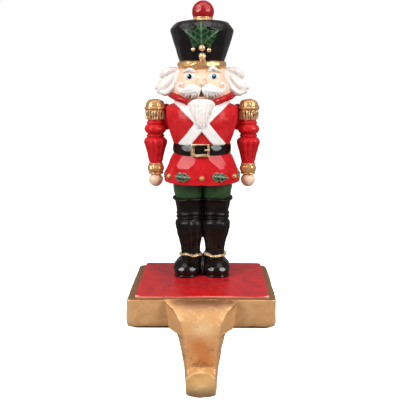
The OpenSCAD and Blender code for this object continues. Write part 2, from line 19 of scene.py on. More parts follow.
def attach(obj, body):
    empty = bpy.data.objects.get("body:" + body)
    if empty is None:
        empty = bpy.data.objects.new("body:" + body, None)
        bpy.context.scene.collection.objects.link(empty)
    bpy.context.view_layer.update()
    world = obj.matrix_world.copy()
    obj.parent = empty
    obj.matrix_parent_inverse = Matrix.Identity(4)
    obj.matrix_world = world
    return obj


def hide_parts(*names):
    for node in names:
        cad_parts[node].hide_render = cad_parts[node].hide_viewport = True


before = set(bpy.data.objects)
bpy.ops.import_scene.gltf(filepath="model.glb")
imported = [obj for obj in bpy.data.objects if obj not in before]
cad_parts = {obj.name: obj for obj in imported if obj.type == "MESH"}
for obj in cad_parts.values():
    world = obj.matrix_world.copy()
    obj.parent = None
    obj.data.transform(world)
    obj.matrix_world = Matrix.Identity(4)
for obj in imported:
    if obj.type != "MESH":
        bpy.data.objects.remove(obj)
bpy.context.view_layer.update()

LOG = logging.getLogger("stocking_holder")
MM = 0.001
FRONT = Vector((0.0, -1.0, 0.0))
CASTING = "cast_holder"
PAD = "foam_pad"

Tint = tuple[float, float, float]
Profile = Callable[[float, int], tuple[float, float]]


class Slot(Enum):
    """The record's material slots."""

    GOLD = "gold_paint"
    RED = "red_paint"
    BLACK = "black_paint"
    GREEN = "green_paint"
    WHITE = "white_paint"
    FLESH = "flesh_paint"
    FOAM = "black_foam"


class Side(Enum):
    """The viewer's left or right."""

    LEFT = -1
    RIGHT = 1


def linear(tint: Tint) -> tuple[float, float, float, float]:
    """Turns an 8-bit display colour into the linear colour that a shader reads.

    Args:
        tint: Red, green and blue, 0 to 255.

    Returns:
        The linear colour with an alpha of 1.
    """
    parts = [c / 255 for c in tint]
    r, g, b = (c / 12.92 if c <= 0.04045 else ((c + 0.055) / 1.055) ** 2.4 for c in parts)
    return (r, g, b, 1.0)


def ease(low: float, high: float, value: float) -> float:
    """Returns a smooth step of value from 0 at low to 1 at high."""
    t = min(1.0, max(0.0, (value - low) / (high - low)))
    return t * t * (3 - 2 * t)


class Wiring:
    """A material's node tree, built by short calls."""

    def __init__(self, title: str) -> None:
        """Starts an empty tree for a new material named title."""
        self.material = bpy.data.materials.new(title)
        self.material.use_nodes = True
        self.tree = self.material.node_tree
        self.tree.nodes.clear()

    def add(self, kind: str, **inputs: object) -> bpy.types.Node:
        """Adds a node.

        Args:
            kind: The node's type without its ShaderNode prefix.
            inputs: Socket values or outputs to link, by the socket's name in lower case.

        Returns:
            The new node.
        """
        node = self.tree.nodes.new("ShaderNode" + kind)
        sockets = {s.name.lower().replace(" ", "_"): s for s in reversed(node.inputs)}
        for name, value in inputs.items():
            self.feed(sockets[name], value)
        return node

    def feed(self, socket: bpy.types.NodeSocket, value: object) -> None:
        """Links an output to socket, or sets the socket's own value."""
        if isinstance(value, bpy.types.NodeSocket):
            self.tree.links.new(value, socket)
        else:
            socket.default_value = value

    def mix(self, share: object, low: object, high: object) -> bpy.types.NodeSocket:
        """Mixes two colours by share and returns the colour output."""
        node = self.tree.nodes.new("ShaderNodeMix")
        node.data_type = "RGBA"
        for index, value in ((0, share), (6, low), (7, high)):
            self.feed(node.inputs[index], value)
        return node.outputs[2]

    def span(self, value: object, a: float, b: float, c: float, d: float) -> bpy.types.NodeSocket:
        """Maps value from the range a to b onto c to d, clamped, with smooth ends."""
        node = self.add("MapRange", value=value, from_min=a, from_max=b, to_min=c, to_max=d)
        node.interpolation_type = "SMOOTHSTEP"
        return node.outputs[0]

    def blend(self, kind: str, a: object, b: object) -> bpy.types.NodeSocket:
        """Returns the output of a Math node of that kind."""
        node = self.tree.nodes.new("ShaderNodeMath")
        node.operation = kind
        self.feed(node.inputs[0], a)
        self.feed(node.inputs[1], b)
        return node.outputs[0]

    def noise(self, place: object, size: float, detail: float, distortion: float) -> bpy.types.NodeSocket:
        """Returns a noise of features about size millimetres wide at place."""
        node = self.add("TexNoise", vector=place, scale=1 / (size * MM), detail=detail,
                        roughness=0.6, distortion=distortion)
        return node.outputs[0]


@dataclass(frozen=True)
class Spot:
    """A soft round touch of another colour, such as a rosy cheek; some spots are painted shade and painted light.
    """

    centre: tuple[float, float, float]
    radius: float
    tint: Tint
    share: float


@dataclass(frozen=True)
class Paint:
    """Paint brushed on the casting by hand: patchy, with painted shade in its hollows and on its
    level tops and a painted highlight on its edges. Sizes are in millimetres."""

    title: str
    base: Tint
    patch: Tint
    # The fourth colour is painted shade for hollows and level tops; the fifth is a painted highlight for proud
    # edges.
    hollow_shade: Tint
    edge: Tint
    patch_size: float = 7.0
    patch_share: float = 0.7
    strokes: tuple[float, float, float] = (1.0, 1.0, 1.0)
    # How strongly the painted shade and the painted highlight show.
    hollow_shade_share: float = 0.85
    edge_highlight_share: float = 0.7
    roughness: float = 0.3
    spread: float = 0.12
    metallic: float = 0.0
    gloss: float = 0.5
    coat: float = 0.0
    grain: float = 0.25
    grain_size: float = 1.1
    spots: tuple[Spot, ...] = ()

    def material(self) -> bpy.types.Material:
        """Builds the paint's material."""
        w = Wiring(self.title)
        place = w.add("TexCoord").outputs["Object"]
        brushed = w.add("Mapping", vector=place, scale=self.strokes).outputs[0]
        patches = w.noise(brushed, self.patch_size, 4.0, 0.6)
        grain = w.noise(brushed, self.grain_size, 5.0, 0.2)
        relief = w.add("Attribute")
        relief.attribute_name = "relief"
        height = relief.outputs["Fac"]
        broken = w.blend("ADD", height, w.span(grain, 0.3, 0.7, -0.16, 0.16))
        colour = w.mix(w.span(patches, 0.36, 0.64, 0.0, self.patch_share),
                       linear(self.base), linear(self.patch))
        for spot in self.spots:
            away = w.add("VectorMath", vector=place)
            away.operation = "DISTANCE"
            away.inputs[1].default_value = [c * MM for c in spot.centre]
            near = w.span(away.outputs["Value"], 0.0, spot.radius * MM, spot.share, 0.0)
            colour = w.mix(near, colour, linear(spot.tint))
        # Painted shade: hollows and level tops take the darker colour.
        colour = w.mix(w.span(broken, -0.12, -0.75, 0.0, self.hollow_shade_share), colour, linear(self.hollow_shade))
        # Painted highlight: proud edges take the lighter colour.
        colour = w.mix(w.span(broken, 0.2, 0.8, 0.0, self.edge_highlight_share), colour, linear(self.edge))
        rough = w.span(patches, 0.3, 0.7, self.roughness - self.spread / 2,
                       self.roughness + self.spread / 2)
        bump = w.add("Bump", strength=self.grain, distance=0.25 * MM,
                     height=w.blend("ADD", grain, patches))
        shader = w.add("BsdfPrincipled", base_color=colour, metallic=self.metallic,
                       roughness=rough, specular_ior_level=self.gloss,
                       coat_weight=self.coat, coat_roughness=0.12,
                       normal=bump.outputs[0])
        out = w.add("OutputMaterial", surface=shader.outputs[0])
        out.is_active_output = True
        return w.material


@dataclass(frozen=True)
class LeafPaint(Paint):
    """Green leaf paint with veins drawn along the leaf's own vein attribute."""

    vein: Tint = (122, 154, 114)

    def material(self) -> bpy.types.Material:
        """Builds the paint with lighter veins over it."""
        material = super().material()
        tree = material.node_tree
        shader = next(n for n in tree.nodes if n.type == "BSDF_PRINCIPLED")
        under = shader.inputs["Base Color"].links[0].from_socket
        line = tree.nodes.new("ShaderNodeAttribute")
        line.attribute_name = "vein"
        over = tree.nodes.new("ShaderNodeMix")
        over.data_type = "RGBA"
        tree.links.new(line.outputs["Fac"], over.inputs[0])
        tree.links.new(under, over.inputs[6])
        over.inputs[7].default_value = linear(self.vein)
        tree.links.new(over.outputs[2], shader.inputs["Base Color"])
        return material


GOLD = Paint("antique gold paint", (242, 186, 128), (222, 164, 108), (104, 66, 36), (255, 232, 190),
             patch_size=7, patch_share=0.85, metallic=0.35, roughness=0.36, spread=0.16, grain=0.6,
             edge_highlight_share=0.6)
GILT = Paint("bright gilt paint", (226, 176, 118), (190, 134, 78), (96, 56, 26), (255, 244, 214),
             patch_size=3.5, metallic=0.45, roughness=0.24, grain=0.4, edge_highlight_share=0.9)
RED = Paint("poppy red paint", (200, 26, 34), (216, 42, 44), (112, 8, 14), (236, 116, 104),
            patch_size=10, edge_highlight_share=0.45, roughness=0.22, gloss=0.16, coat=0.02, grain=0.1)
BOBBLE_RED = replace(RED, title="bobble red paint", base=(156, 10, 18), patch=(176, 20, 26),
                     gloss=0.46)
CHEST_RED = replace(RED, title="coat front red paint", base=(202, 32, 38), patch=(216, 50, 50),
                    gloss=0.08)
COLLAR_RED = replace(RED, title="collar red paint", base=(176, 22, 30), patch=(206, 50, 50))
# Painted reflection: the spot makes the panel a deeper red towards its front, so its back stays paler, as the
# backdrop's reflection at a grazing view makes it.
BOARD_RED = Paint("board red paint", (198, 28, 34), (176, 38, 42), (130, 22, 28), (252, 190, 172),
                  patch_size=5, hollow_shade_share=0.5, strokes=(0.16, 1.0, 1.0), roughness=0.26, gloss=0.4,
                  coat=0.05, grain=0.5, spots=(Spot((0, -46, 21), 36, (212, 6, 18), 0.9),))
BLACK = Paint("gloss black paint", (15, 12, 11), (28, 21, 18), (4, 3, 3), (70, 62, 58),
              patch_size=6, edge_highlight_share=0.4, roughness=0.18, gloss=0.24, grain=0.1)
HAT_BLACK = replace(BLACK, title="hat black paint", gloss=0.42, roughness=0.2)
BOOT_BLACK = replace(BLACK, title="worn boot black paint", base=(18, 15, 12), patch=(32, 26, 20),
                     roughness=0.32, gloss=0.2)
SHOE_BLACK = replace(BLACK, title="polished black paint", roughness=0.14, gloss=0.34,
                     edge_highlight_share=0.15)
BLOCK_GOLD = replace(GOLD, title="block gold paint", hollow_shade_share=0.8, edge_highlight_share=0.35)
PALE_GILT = replace(GILT, title="pale gilt paint", base=(244, 206, 158), patch=(226, 180, 126))
GREEN = Paint("forest green paint", (43, 70, 36), (54, 86, 45), (16, 28, 16), (96, 124, 84),
              roughness=0.34, coat=0.1)
LEAF = LeafPaint("holly green paint", (18, 50, 25), (32, 70, 35), (8, 24, 12), (88, 124, 82),
                 patch_size=4, roughness=0.34, gloss=0.25)
HEM_LEAF = replace(LEAF, title="hem holly green paint", base=(20, 52, 30), patch=(30, 68, 38),
                   vein=(178, 196, 168))
WHITE = Paint("soft white paint", (243, 235, 230), (236, 224, 218), (186, 148, 142), (254, 251, 248),
              patch_size=5, hollow_shade_share=0.85, roughness=0.38, grain=0.25)
STRAP_WHITE = Paint("strap white paint", (255, 252, 249), (250, 245, 241), (196, 170, 164),
                    (252, 251, 249), roughness=0.4, grain=0.3)
WHISKER_WHITE = replace(WHITE, title="whisker white paint", base=(253, 250, 247),
                        patch=(250, 246, 242), hollow_shade=(190, 160, 152), hollow_shade_share=0.6)
HAIR_WHITE = replace(WHITE, title="hair white paint", base=(248, 239, 233), hollow_shade_share=0.6)
EYE_WHITE = replace(WHITE, title="eye white paint", base=(238, 242, 246), patch=(222, 232, 240),
                    hollow_shade=(150, 164, 180))
FLESH = Paint("warm flesh paint", (250, 212, 182), (246, 203, 170), (206, 136, 104), (255, 236, 212),
              patch_size=8, roughness=0.34, grain=0.12)
HAND = Paint("hand flesh paint", (255, 220, 190), (250, 204, 172), (190, 116, 82), (255, 232, 206),
             patch_size=5, hollow_shade_share=0.5, roughness=0.34, grain=0.15)
IRIS = Paint("iris blue paint", (58, 112, 140), (36, 74, 100), (14, 22, 30), (120, 160, 180),
             patch_size=1, roughness=0.2, coat=0.4)
PUPIL = Paint("pupil black paint", (14, 16, 22), (18, 22, 30), (4, 4, 6), (30, 34, 42),
              patch_size=1, roughness=0.2, gloss=0.2)
MOUTH = Paint("mouth brown paint", (112, 52, 26), (92, 38, 18), (60, 20, 10), (170, 96, 60),
              patch_size=2)
FOAM = Paint("black foam", (16, 16, 16), (24, 24, 24), (4, 4, 4), (40, 40, 40), patch_size=2,
             roughness=0.9, grain=1.0, grain_size=0.5)


class Palette:
    """Makes each paint's material once."""

    def __init__(self) -> None:
        """Starts with no materials."""
        self.made: dict[str, bpy.types.Material] = {}

    def of(self, paint: Paint) -> bpy.types.Material:
        """Returns the material of paint."""
        if paint.title not in self.made:
            self.made[paint.title] = paint.material()
        return self.made[paint.title]


PALETTE = Palette()


def disc(turn: float, _ring: int) -> tuple[float, float]:
    """The profile of a plain round ring."""
    return math.cos(turn), math.sin(turn)


def squarish(power: float) -> Profile:
    """Returns a profile between a circle, at 2, and a square, at a high power."""
    def profile(turn: float, _ring: int) -> tuple[float, float]:
        c, s = math.cos(turn), math.sin(turn)
        r = (abs(c) ** power + abs(s) ** power) ** (-1 / power)
        return c * r, s * r
    return profile


def faceted(corners: int, roundness: float = 0.0) -> Profile:
    """Returns a polygon's profile with a flat side at the front.

    Args:
        corners: How many sides it has.
        roundness: From 0, a true polygon, to 1, a circle.
    """
    step = 2 * math.pi / corners

    def profile(turn: float, _ring: int) -> tuple[float, float]:
        off = (turn + math.pi / 2 + step / 2) % step - step / 2
        r = math.cos(step / 2) / math.cos(off)
        r += (1 - r) * roundness
        return math.cos(turn) * r, math.sin(turn) * r
    return profile


def fluted(count: int, depths: Sequence[float], power: float = 2.0, wander: float = 0.0) -> Profile:
    """Returns a profile with upright grooves.

    Args:
        count: Grooves round the ring.
        depths: Their depth on each ring, as a share of its radius.
        power: Squareness of the ring, 2 for a circle.
        wander: How unevenly they are spaced, in radians.
    """
    body = squarish(power)

    def profile(turn: float, ring: int) -> tuple[float, float]:
        x, y = body(turn, ring)
        moved = turn + wander * (math.sin(2 * turn + 0.7) + 0.6 * math.sin(5 * turn + 2.1))
        cut = 0.5 - 0.5 * math.cos(count * moved)
        k = 1 - depths[min(ring, len(depths) - 1)] * (1 - cut) ** 2
        return x * k, y * k
    return profile


def spline(keys: Sequence[Sequence[float]], per: int) -> list[tuple[float, ...]]:
    """Fills in between keys on a smooth curve.

    Args:
        keys: Tuples of equal length.
        per: Steps from one key to the next.

    Returns:
        The keys with the tuples in between.
    """
    out: list[tuple[float, ...]] = []
    for k in range(len(keys) - 1):
        a, b = keys[max(k - 1, 0)], keys[k]
        c, d = keys[k + 1], keys[min(k + 2, len(keys) - 1)]
        for i in range(per):
            t = i / per
            out.append(tuple(
                0.5 * (2 * q + (r - p) * t + (2 * p - 5 * q + 4 * r - s) * t * t
                       + (3 * q - p - 3 * r + s) * t ** 3)
                for p, q, r, s in zip(a, b, c, d)))
    out.append(tuple(keys[-1]))
    return out


def level(z: float, half_width: float, half_depth: float, forward: float = 0.0,
          across: float = 0.0) -> Matrix:
    """Returns the matrix of a level ring."""
    return Matrix.Translation((across, -forward, z)) @ Matrix.Diagonal((half_width, half_depth, 1, 1))


def along(path: Sequence[Sequence[float]], facing: Vector = FRONT) -> list[Matrix]:
    """Returns ring matrices along a path.

    Args:
        path: Tuples of x, y, z, half width and half depth.
        facing: The way that the broad side faces.
    """
    rings = []
    for k, point in enumerate(path):
        before = Vector(path[max(k - 1, 0)][:3])
        after = Vector(path[min(k + 1, len(path) - 1)][:3])
        ahead = (after - before).normalized()
        side = facing.cross(ahead).normalized()
        out = ahead.cross(side)
        turn = Matrix((side * point[3], out * point[4], ahead)).transposed().to_4x4()
        rings.append(Matrix.Translation(point[:3]) @ turn)
    return rings


class Form:
    """A shape being modelled, in millimetres."""

    def __init__(self) -> None:
        """Starts with nothing."""
        self.bm = bmesh.new()
        self.turn = self.bm.verts.layers.float.new("turn")

    def stack(self, rings: Sequence[Matrix], sides: int, profile: Profile = disc) -> "Form":
        """Raises a skin ring by ring from a circle, with open ends.

        Args:
            rings: Where each ring goes, with its size.
            sides: Points round a ring.
            profile: The ring's shape before its matrix.
        """
        made = bmesh.ops.create_circle(self.bm, segments=sides, radius=1.0)["verts"]
        for v in made:
            v[self.turn] = math.atan2(v.co.y, v.co.x)
        edges = list({e for v in made for e in v.link_edges})
        self._lay(made, rings[0], profile, 0)
        for k, ring in enumerate(rings[1:], 1):
            geom = bmesh.ops.extrude_edge_only(self.bm, edges=edges)["geom"]
            made = [g for g in geom if isinstance(g, bmesh.types.BMVert)]
            fresh = set(made)
            edges = [g for g in geom if isinstance(g, bmesh.types.BMEdge)
                     and g.verts[0] in fresh and g.verts[1] in fresh]
            self._lay(made, ring, profile, k)
        return self

    def close(self) -> "Form":
        """Closes open ends with fans of faces."""
        rims = [e for e in self.bm.edges if e.is_boundary]
        if rims:
            caps = bmesh.ops.holes_fill(self.bm, edges=rims, sides=0)["faces"]
            bmesh.ops.poke(self.bm, faces=caps)
        return self

    def _lay(self, verts: Sequence[bmesh.types.BMVert], ring: Matrix, profile: Profile,
             index: int) -> None:
        """Lays one ring of points out by its profile and matrix."""
        for v in verts:
            x, y = profile(v[self.turn], index)
            v.co = ring @ Vector((x, y, 0.0))

    def ball(self, centre: Sequence[float], radii: Sequence[float], cuts: int = 4) -> "Form":
        """Adds a ball or egg of evenly spread faces."""
        matrix = Matrix.Translation(centre) @ Matrix.Diagonal((*radii, 1.0))
        bmesh.ops.create_icosphere(self.bm, subdivisions=cuts, radius=1.0, matrix=matrix)
        return self

    def refine(self, levels: int = 1) -> "Form":
        """Smooths and divides the faces as subdivision surfaces do."""
        mesh = bpy.data.meshes.new("shaping")
        self.bm.normal_update()
        self.bm.to_mesh(mesh)
        holder = bpy.data.objects.new("shaping", mesh)
        bpy.context.scene.collection.objects.link(holder)
        smooth = holder.modifiers.new("smooth", "SUBSURF")
        smooth.levels = smooth.render_levels = levels
        graph = bpy.context.evaluated_depsgraph_get()
        self.bm.clear()
        self.bm.from_mesh(holder.evaluated_get(graph).to_mesh())
        self.turn = self.bm.verts.layers.float.get("turn") or self.bm.verts.layers.float.new("turn")
        bpy.data.objects.remove(holder)
        bpy.data.meshes.remove(mesh)
        return self

    def shift(self, move: Callable[[Vector], Vector]) -> "Form":
        """Moves each point to where move puts it."""
        for v in self.bm.verts:
            v.co = move(v.co.copy())
        return self

    def place(self, matrix: Matrix) -> "Form":
        """Moves the whole form."""
        bmesh.ops.transform(self.bm, matrix=matrix, verts=self.bm.verts)
        return self

    def mirrored(self) -> "Form":
        """Adds the form's mirror image across the soldier's middle."""
        geom = list(self.bm.verts) + list(self.bm.edges) + list(self.bm.faces)
        twin = bmesh.ops.duplicate(self.bm, geom=geom)["geom"]
        verts = [g for g in twin if isinstance(g, bmesh.types.BMVert)]
        bmesh.ops.transform(self.bm, matrix=Matrix.Diagonal((-1, 1, 1, 1)), verts=verts)
        return self

    def take(self, other: "Form") -> "Form":
        """Takes all of another form in."""
        mesh = bpy.data.meshes.new("moving")
        other.bm.to_mesh(mesh)
        other.bm.free()
        self.bm.from_mesh(mesh)
        bpy.data.meshes.remove(mesh)
        return self

    def whittle(self, azimuth: float, elevation: float, depth: float) -> "Form":
        """Pares one flat facet off the outside.

        Args:
            azimuth: Degrees from the front towards the viewer's right.
            elevation: Degrees above level.
            depth: How deep the knife goes.
        """
        a, e = math.radians(azimuth), math.radians(elevation)
        n = Vector((math.sin(a) * math.cos(e), -math.cos(a) * math.cos(e), math.sin(e)))
        limit = max(v.co.dot(n) for v in self.bm.verts) - depth
        for v in self.bm.verts:
            over = v.co.dot(n) - limit
            if over > 0:
                v.co -= n * over
        return self

    def whittle_round(self, count: int, depth: float, seed: int) -> "Form":
        """Pares facets all round a ball."""
        for i in range(count):
            up = 1 - 2 * (i + 0.5) / count
            azimuth = math.degrees(i * 2.39996) + 14 * math.sin(7.3 * i + seed)
            elevation = math.degrees(math.asin(up)) + 6 * math.sin(3.1 * i + seed)
            self.whittle(azimuth, elevation, depth * (0.75 + 0.25 * math.sin(5.7 * i + seed)))
        return self

    def roughen(self, amount: float, size: float) -> "Form":
        """Makes the surface a little uneven, as a hand finish does.

        Args:
            amount: Height of the unevenness.
            size: Width of its features.
        """
        self.bm.normal_update()
        moves = [(v, v.normal * (amount * noise.noise(v.co / size))) for v in self.bm.verts]
        for v, step in moves:
            v.co += step
        return self

    def piece(self, name: str, paint: Paint, slot: Slot, reach: float = 0.35, rounds: int = 8,
              top_shade: float = 0.0, offset: Sequence[float] = (0.0, 0.0, 0.0)) -> bpy.types.Object:
        """Turns the form into a finished piece that stands for the casting.

        Args:
            name: The piece's name.
            paint: Its finish.
            slot: The record's slot of that finish. It is not used.
            reach: Height in millimetres that counts as full relief.
            rounds: How wide the relief is measured, in rounds of smoothing.
            top_shade: How much painted shade the level tops take.
            offset: Where the form's zero goes.

        Returns:
            The piece's object.
        """
        self.close()
        bmesh.ops.recalc_face_normals(self.bm, faces=self.bm.faces)
        mesh = bpy.data.meshes.new(name)
        self.bm.to_mesh(mesh)
        self.bm.free()
        mark_relief(mesh, reach, rounds, top_shade)
        mesh.transform(Matrix.Diagonal((MM, MM, MM, 1)) @ Matrix.Translation(offset))
        mesh.shade_smooth()
        mesh.materials.append(PALETTE.of(paint))
        thing = bpy.data.objects.new(name, mesh)
        bpy.context.scene.collection.objects.link(thing)
        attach(thing, "root")
        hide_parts(CASTING)
        LOG.info("%s: %d faces", name, len(mesh.polygons))
        return thing


def mark_relief(mesh: bpy.types.Mesh, reach: float, rounds: int, top_shade: float) -> None:
    """Stores how far each point stands proud of, or lies under, the surface around it.

    Args:
        mesh: The mesh, in millimetres.
        reach: Height that counts as full relief.
        rounds: Rounds of smoothing that make the surface to compare with.
        top_shade: Share taken off on level tops, as painted shade there.
    """
    count = len(mesh.vertices)
    co = np.empty(count * 3)
    mesh.vertices.foreach_get("co", co)
    co = co.reshape(-1, 3)
    ends = np.empty(len(mesh.edges) * 2, int)
    mesh.edges.foreach_get("vertices", ends)
    a, b = ends[0::2], ends[1::2]
    degree = np.maximum(np.bincount(ends, minlength=count), 1)[:, None]
    smooth = co.copy()
    for _ in range(rounds):
        total = np.stack([np.bincount(a, smooth[b, i], count) + np.bincount(b, smooth[a, i], count)
                          for i in range(3)], 1)
        smooth = 0.4 * smooth + 0.6 * total / degree
    normals = np.empty(count * 3)
    mesh.vertices.foreach_get("normal", normals)
    normals = normals.reshape(-1, 3)
    proud = ((co - smooth) * normals).sum(1)
    value = np.clip((proud - np.median(proud)) / reach, -1, 1)
    # Painted shade: level tops are pushed towards the darker colour.
    if top_shade:
        value -= top_shade * np.clip((normals[:, 2] - 0.72) / 0.2, 0, 1)
    mesh.attributes.new("relief", "FLOAT", "POINT").data.foreach_set("value", value.astype(np.float32))


@dataclass
class Block:
    """The gold block, the red panel on it, and the tongue that ends in the hook."""

    width: float = 100.0
    depth: float = 90.0
    height: float = 19.3
    fall: float = 1.6
    pad: float = 1.0
    panel_rise: float = 1.0
    panel_side: float = 4.5
    panel_front: float = 5.5
    panel_back: float = 2.0
    flare: float = 50.0
    neck: float = 21.0
    tongue: float = 14.0
    step: float = 1.0
    drop: float = 36.0
    throat: float = 13.0
    throat_depth: float = 11.0
    tip: float = 8.0
    floor: float = 10.0
    tip_width: float = 18.6

    def build(self) -> None:
        """Builds the block, panel, tongue and hook."""
        self._block()
        self._panel()
        self._tongue()

    @property
    def top(self) -> float:
        """Height of the block's front top edge."""
        return self.pad + self.height

    @property
    def front(self) -> float:
        """Y of the block's front face."""
        return -self.depth / 2

    def _box(self, half_w: float, half_d: float, corners: Sequence[float]) -> Profile:
        """Returns the outline of a box with its own radius at the front and back corners."""
        def profile(turn: float, _ring: int) -> tuple[float, float]:
            c, s = math.cos(turn), math.sin(turn)
            k = min(half_w / max(abs(c), 1e-9), half_d / max(abs(s), 1e-9))
            x, y = c * k, s * k
            r = corners[0] if y < 0 else corners[1]
            cx, cy = half_w - r, half_d - r
            if abs(x) > cx and abs(y) > cy:
                away = Vector((abs(x) - cx, abs(y) - cy)).normalized() * r
                x, y = math.copysign(cx + away.x, x), math.copysign(cy + away.y, y)
            return x, y
        return profile

    def _tier(self, keys: Sequence[tuple[float, float]], profile: Profile, centre: float,
              sides: int) -> Form:
        """Stacks an outline at heights with a share of its size."""
        rings = [Matrix.Translation((0, centre, z)) @ Matrix.Diagonal((k, k, 1, 1)) for z, k in keys]
        return Form().stack(rings, sides, profile)

    def _block(self) -> None:
        """The gold block, a little uneven, with its top falling to the back."""
        w, d = self.width / 2 + 0.4, self.depth / 2 + 0.2
        top, low = self.top, self.pad
        keys = [(low, 0.03), (low, 0.6), (low, 0.975), (low + 0.15, 0.984), (low + 1.3, 0.993),
                (low + 2.6, 1.0), (low + 5, 1.0), (low + 9, 1.0), (low + 13, 1.0), (low + 16.5, 1.0),
                (top - 0.9, 1.0), (top - 0.25, 0.998), (top, 0.992), (top, 0.975), (top, 0.9),
                (top, 0.6), (top, 0.03)]
        form = self._tier(keys, self._box(w, d, (0.9, 6.0)), 0.0, 192)
        form.refine(1)

        def fall(p: Vector) -> Vector:
            lift = ease(low + 2, top, p.z)
            deep = (p.y - self.front) / self.depth
            p.z -= self.fall * lift * deep
            p.x += 1.2 * deep * (p.x < -self.width / 4)
            return p
        form.shift(fall).roughen(0.5, 14).roughen(0.1, 4)
        # Painted shade: the block's level top takes the darker colour fully.
        form.piece("base_block", BLOCK_GOLD, Slot.GOLD, reach=0.25, rounds=2, top_shade=1.0)

    def _panel(self) -> None:
        """The red panel that the soldier stands on."""
        half_w = self.width / 2 - self.panel_side + 0.4
        half_d = (self.depth - self.panel_front - self.panel_back) / 2
        centre = self.front + self.panel_front + half_d
        root, top = self.top - self.fall - 0.6, self.top + self.panel_rise
        keys = [(root, 0.03), (root, 1.004), (top - 0.9, 1.004), (top - 0.5, 1.0), (top - 0.12, 0.996),
                (top, 0.988), (top, 0.97), (top, 0.9), (top, 0.7), (top, 0.4), (top, 0.03)]
        form = self._tier(keys, self._box(half_w, half_d, (0.8, 1.4)), centre, 240)
        form.refine(1)

        def wave(p: Vector) -> Vector:
            p.y += 0.35 * math.sin(p.x / 9) * ease(top - 2, top, p.z) * (p.y < centre - 20)
            p.z += 0.14 * math.sin(p.x / 13 + 1) * (p.z > top - 1.2)
            deep = (p.y - self.front) / self.depth
            p.x += (0.7 + 1.4 * deep) * (p.x < -self.width / 4)
            return p
        form.shift(wave).roughen(0.08, 6)
        form.piece("red_panel", BOARD_RED, Slot.RED, reach=0.07, rounds=3)

    def _tongue(self) -> None:
        """The tongue flares out of the block's top edge, drops, and turns up as the hook."""
        f, n, h = self.flare / 2, self.neck / 2, self.top
        back = self.front - self.step
        floor_z = -self.drop + self.floor
        r = self.throat / 2
        bend_y, bend_z = back - self.tongue - r, floor_z + r
        tip_z = floor_z + self.throat_depth
        reach = self.tongue + self.step
        slices: list[tuple[float, ...]] = []  # rear y z, front y z, half widths, dish, crown
        down = [(h - 0.05, f, f * 0.99, 0.03), (0.97 * h, f, f * 0.95, 0.16),
                (0.89 * h, f * 0.99, f * 0.85, 0.38), (0.77 * h, f * 0.98, (f + n) / 2, 0.58),
                (0.6 * h, f * 0.97, n * 1.46, 0.75), (0.38 * h, f * 0.955, n * 1.27, 0.88),
                (0.14 * h, f * 0.94, n * 1.14, 0.96), (self.pad, f * 0.91, n * 1.09, 0.98),
                (self.pad - 0.3, f * 0.9, n * 1.09, 0.98), (-0.06 * self.drop, f * 0.69, n * 1.06, 0.995),
                (-0.14 * self.drop, n * 1.54, n * 1.07, 1.0), (-0.3 * self.drop, n * 1.41, n * 1.02, 1.0),
                (bend_z, n * 1.25, n * 0.97, 1.0)]
        for z, wb, wf, share in down:
            rear = back if z < self.pad else self.front + 1
            slices.append((rear, z, self.front - reach * share, z, wb, wf, 0.07 * share, 0.0))
        for i in range(1, 11):
            t = i / 10
            a = math.pi * t
            fade = (1 - t) ** 2
            thick = self.tongue * fade + 2 * self.floor * t * (1 - t) + self.tip * t * t
            wb = self.neck * 0.6 * fade + self.tip_width * 0.5 * (1 - fade)
            wf = self.neck * 0.475 * fade + self.tip_width * 0.47 * (1 - fade)
            slices.append((bend_y + (r + thick) * math.cos(a), bend_z - (r + thick) * math.sin(a),
                           bend_y + r * math.cos(a), bend_z - r * math.sin(a), wb, wf, 0.0,
                           0.16 * math.sin(a)))
        arch = 6.4
        for t in (0.22, 0.45, 0.65, 0.82, 0.93, 0.985):
            z = bend_z + (tip_z - bend_z) * t
            k = math.sqrt(1 - ((z - tip_z + arch) / (arch + 0.05)) ** 2)
            w = self.tip_width / 2
            trim = 0.5 * ease(0.8, 1.0, t)
            slices.append((bend_y - r - self.tip + trim, z, bend_y - r - trim, z, w * k, w * 0.94 * k,
                           0.0, 0.0))
        dense = spline(slices[:8], 2)[:-1] + spline(slices[7:9], 1)[:-1] + spline(slices[8:], 2)
        rings = []
        for yb, zb, yf, zf, *_ in dense:
            run = Vector((0, yf - yb, zf - zb))
            across = Vector((1, 0, 0))
            turn = Matrix((across, run / 2, across.cross(run).normalized())).transposed().to_4x4()
            rings.append(Matrix.Translation((0, (yb + yf) / 2, (zb + zf) / 2)) @ turn)
        body = squarish(13.0)

        def profile(turn: float, ring: int) -> tuple[float, float]:
            _, _, _, _, wb, wf, dish, crown = dense[ring]
            u, v = body(turn, ring)
            s = (v + 1) / 2
            bow = 1 - u * u
            s += -crown * bow * (1 - s) - dish * bow * s
            s += 0.03 * ease(0.7, 0.95, abs(u)) * ease(0.8, 1.0, s) * (dish > 0)
            return u * (wb + (wf - wb) * (v + 1) / 2), 2 * s - 1
        form = Form().stack(rings, 144, profile).refine(1)
        form.roughen(0.4, 7).roughen(0.14, 2.5)
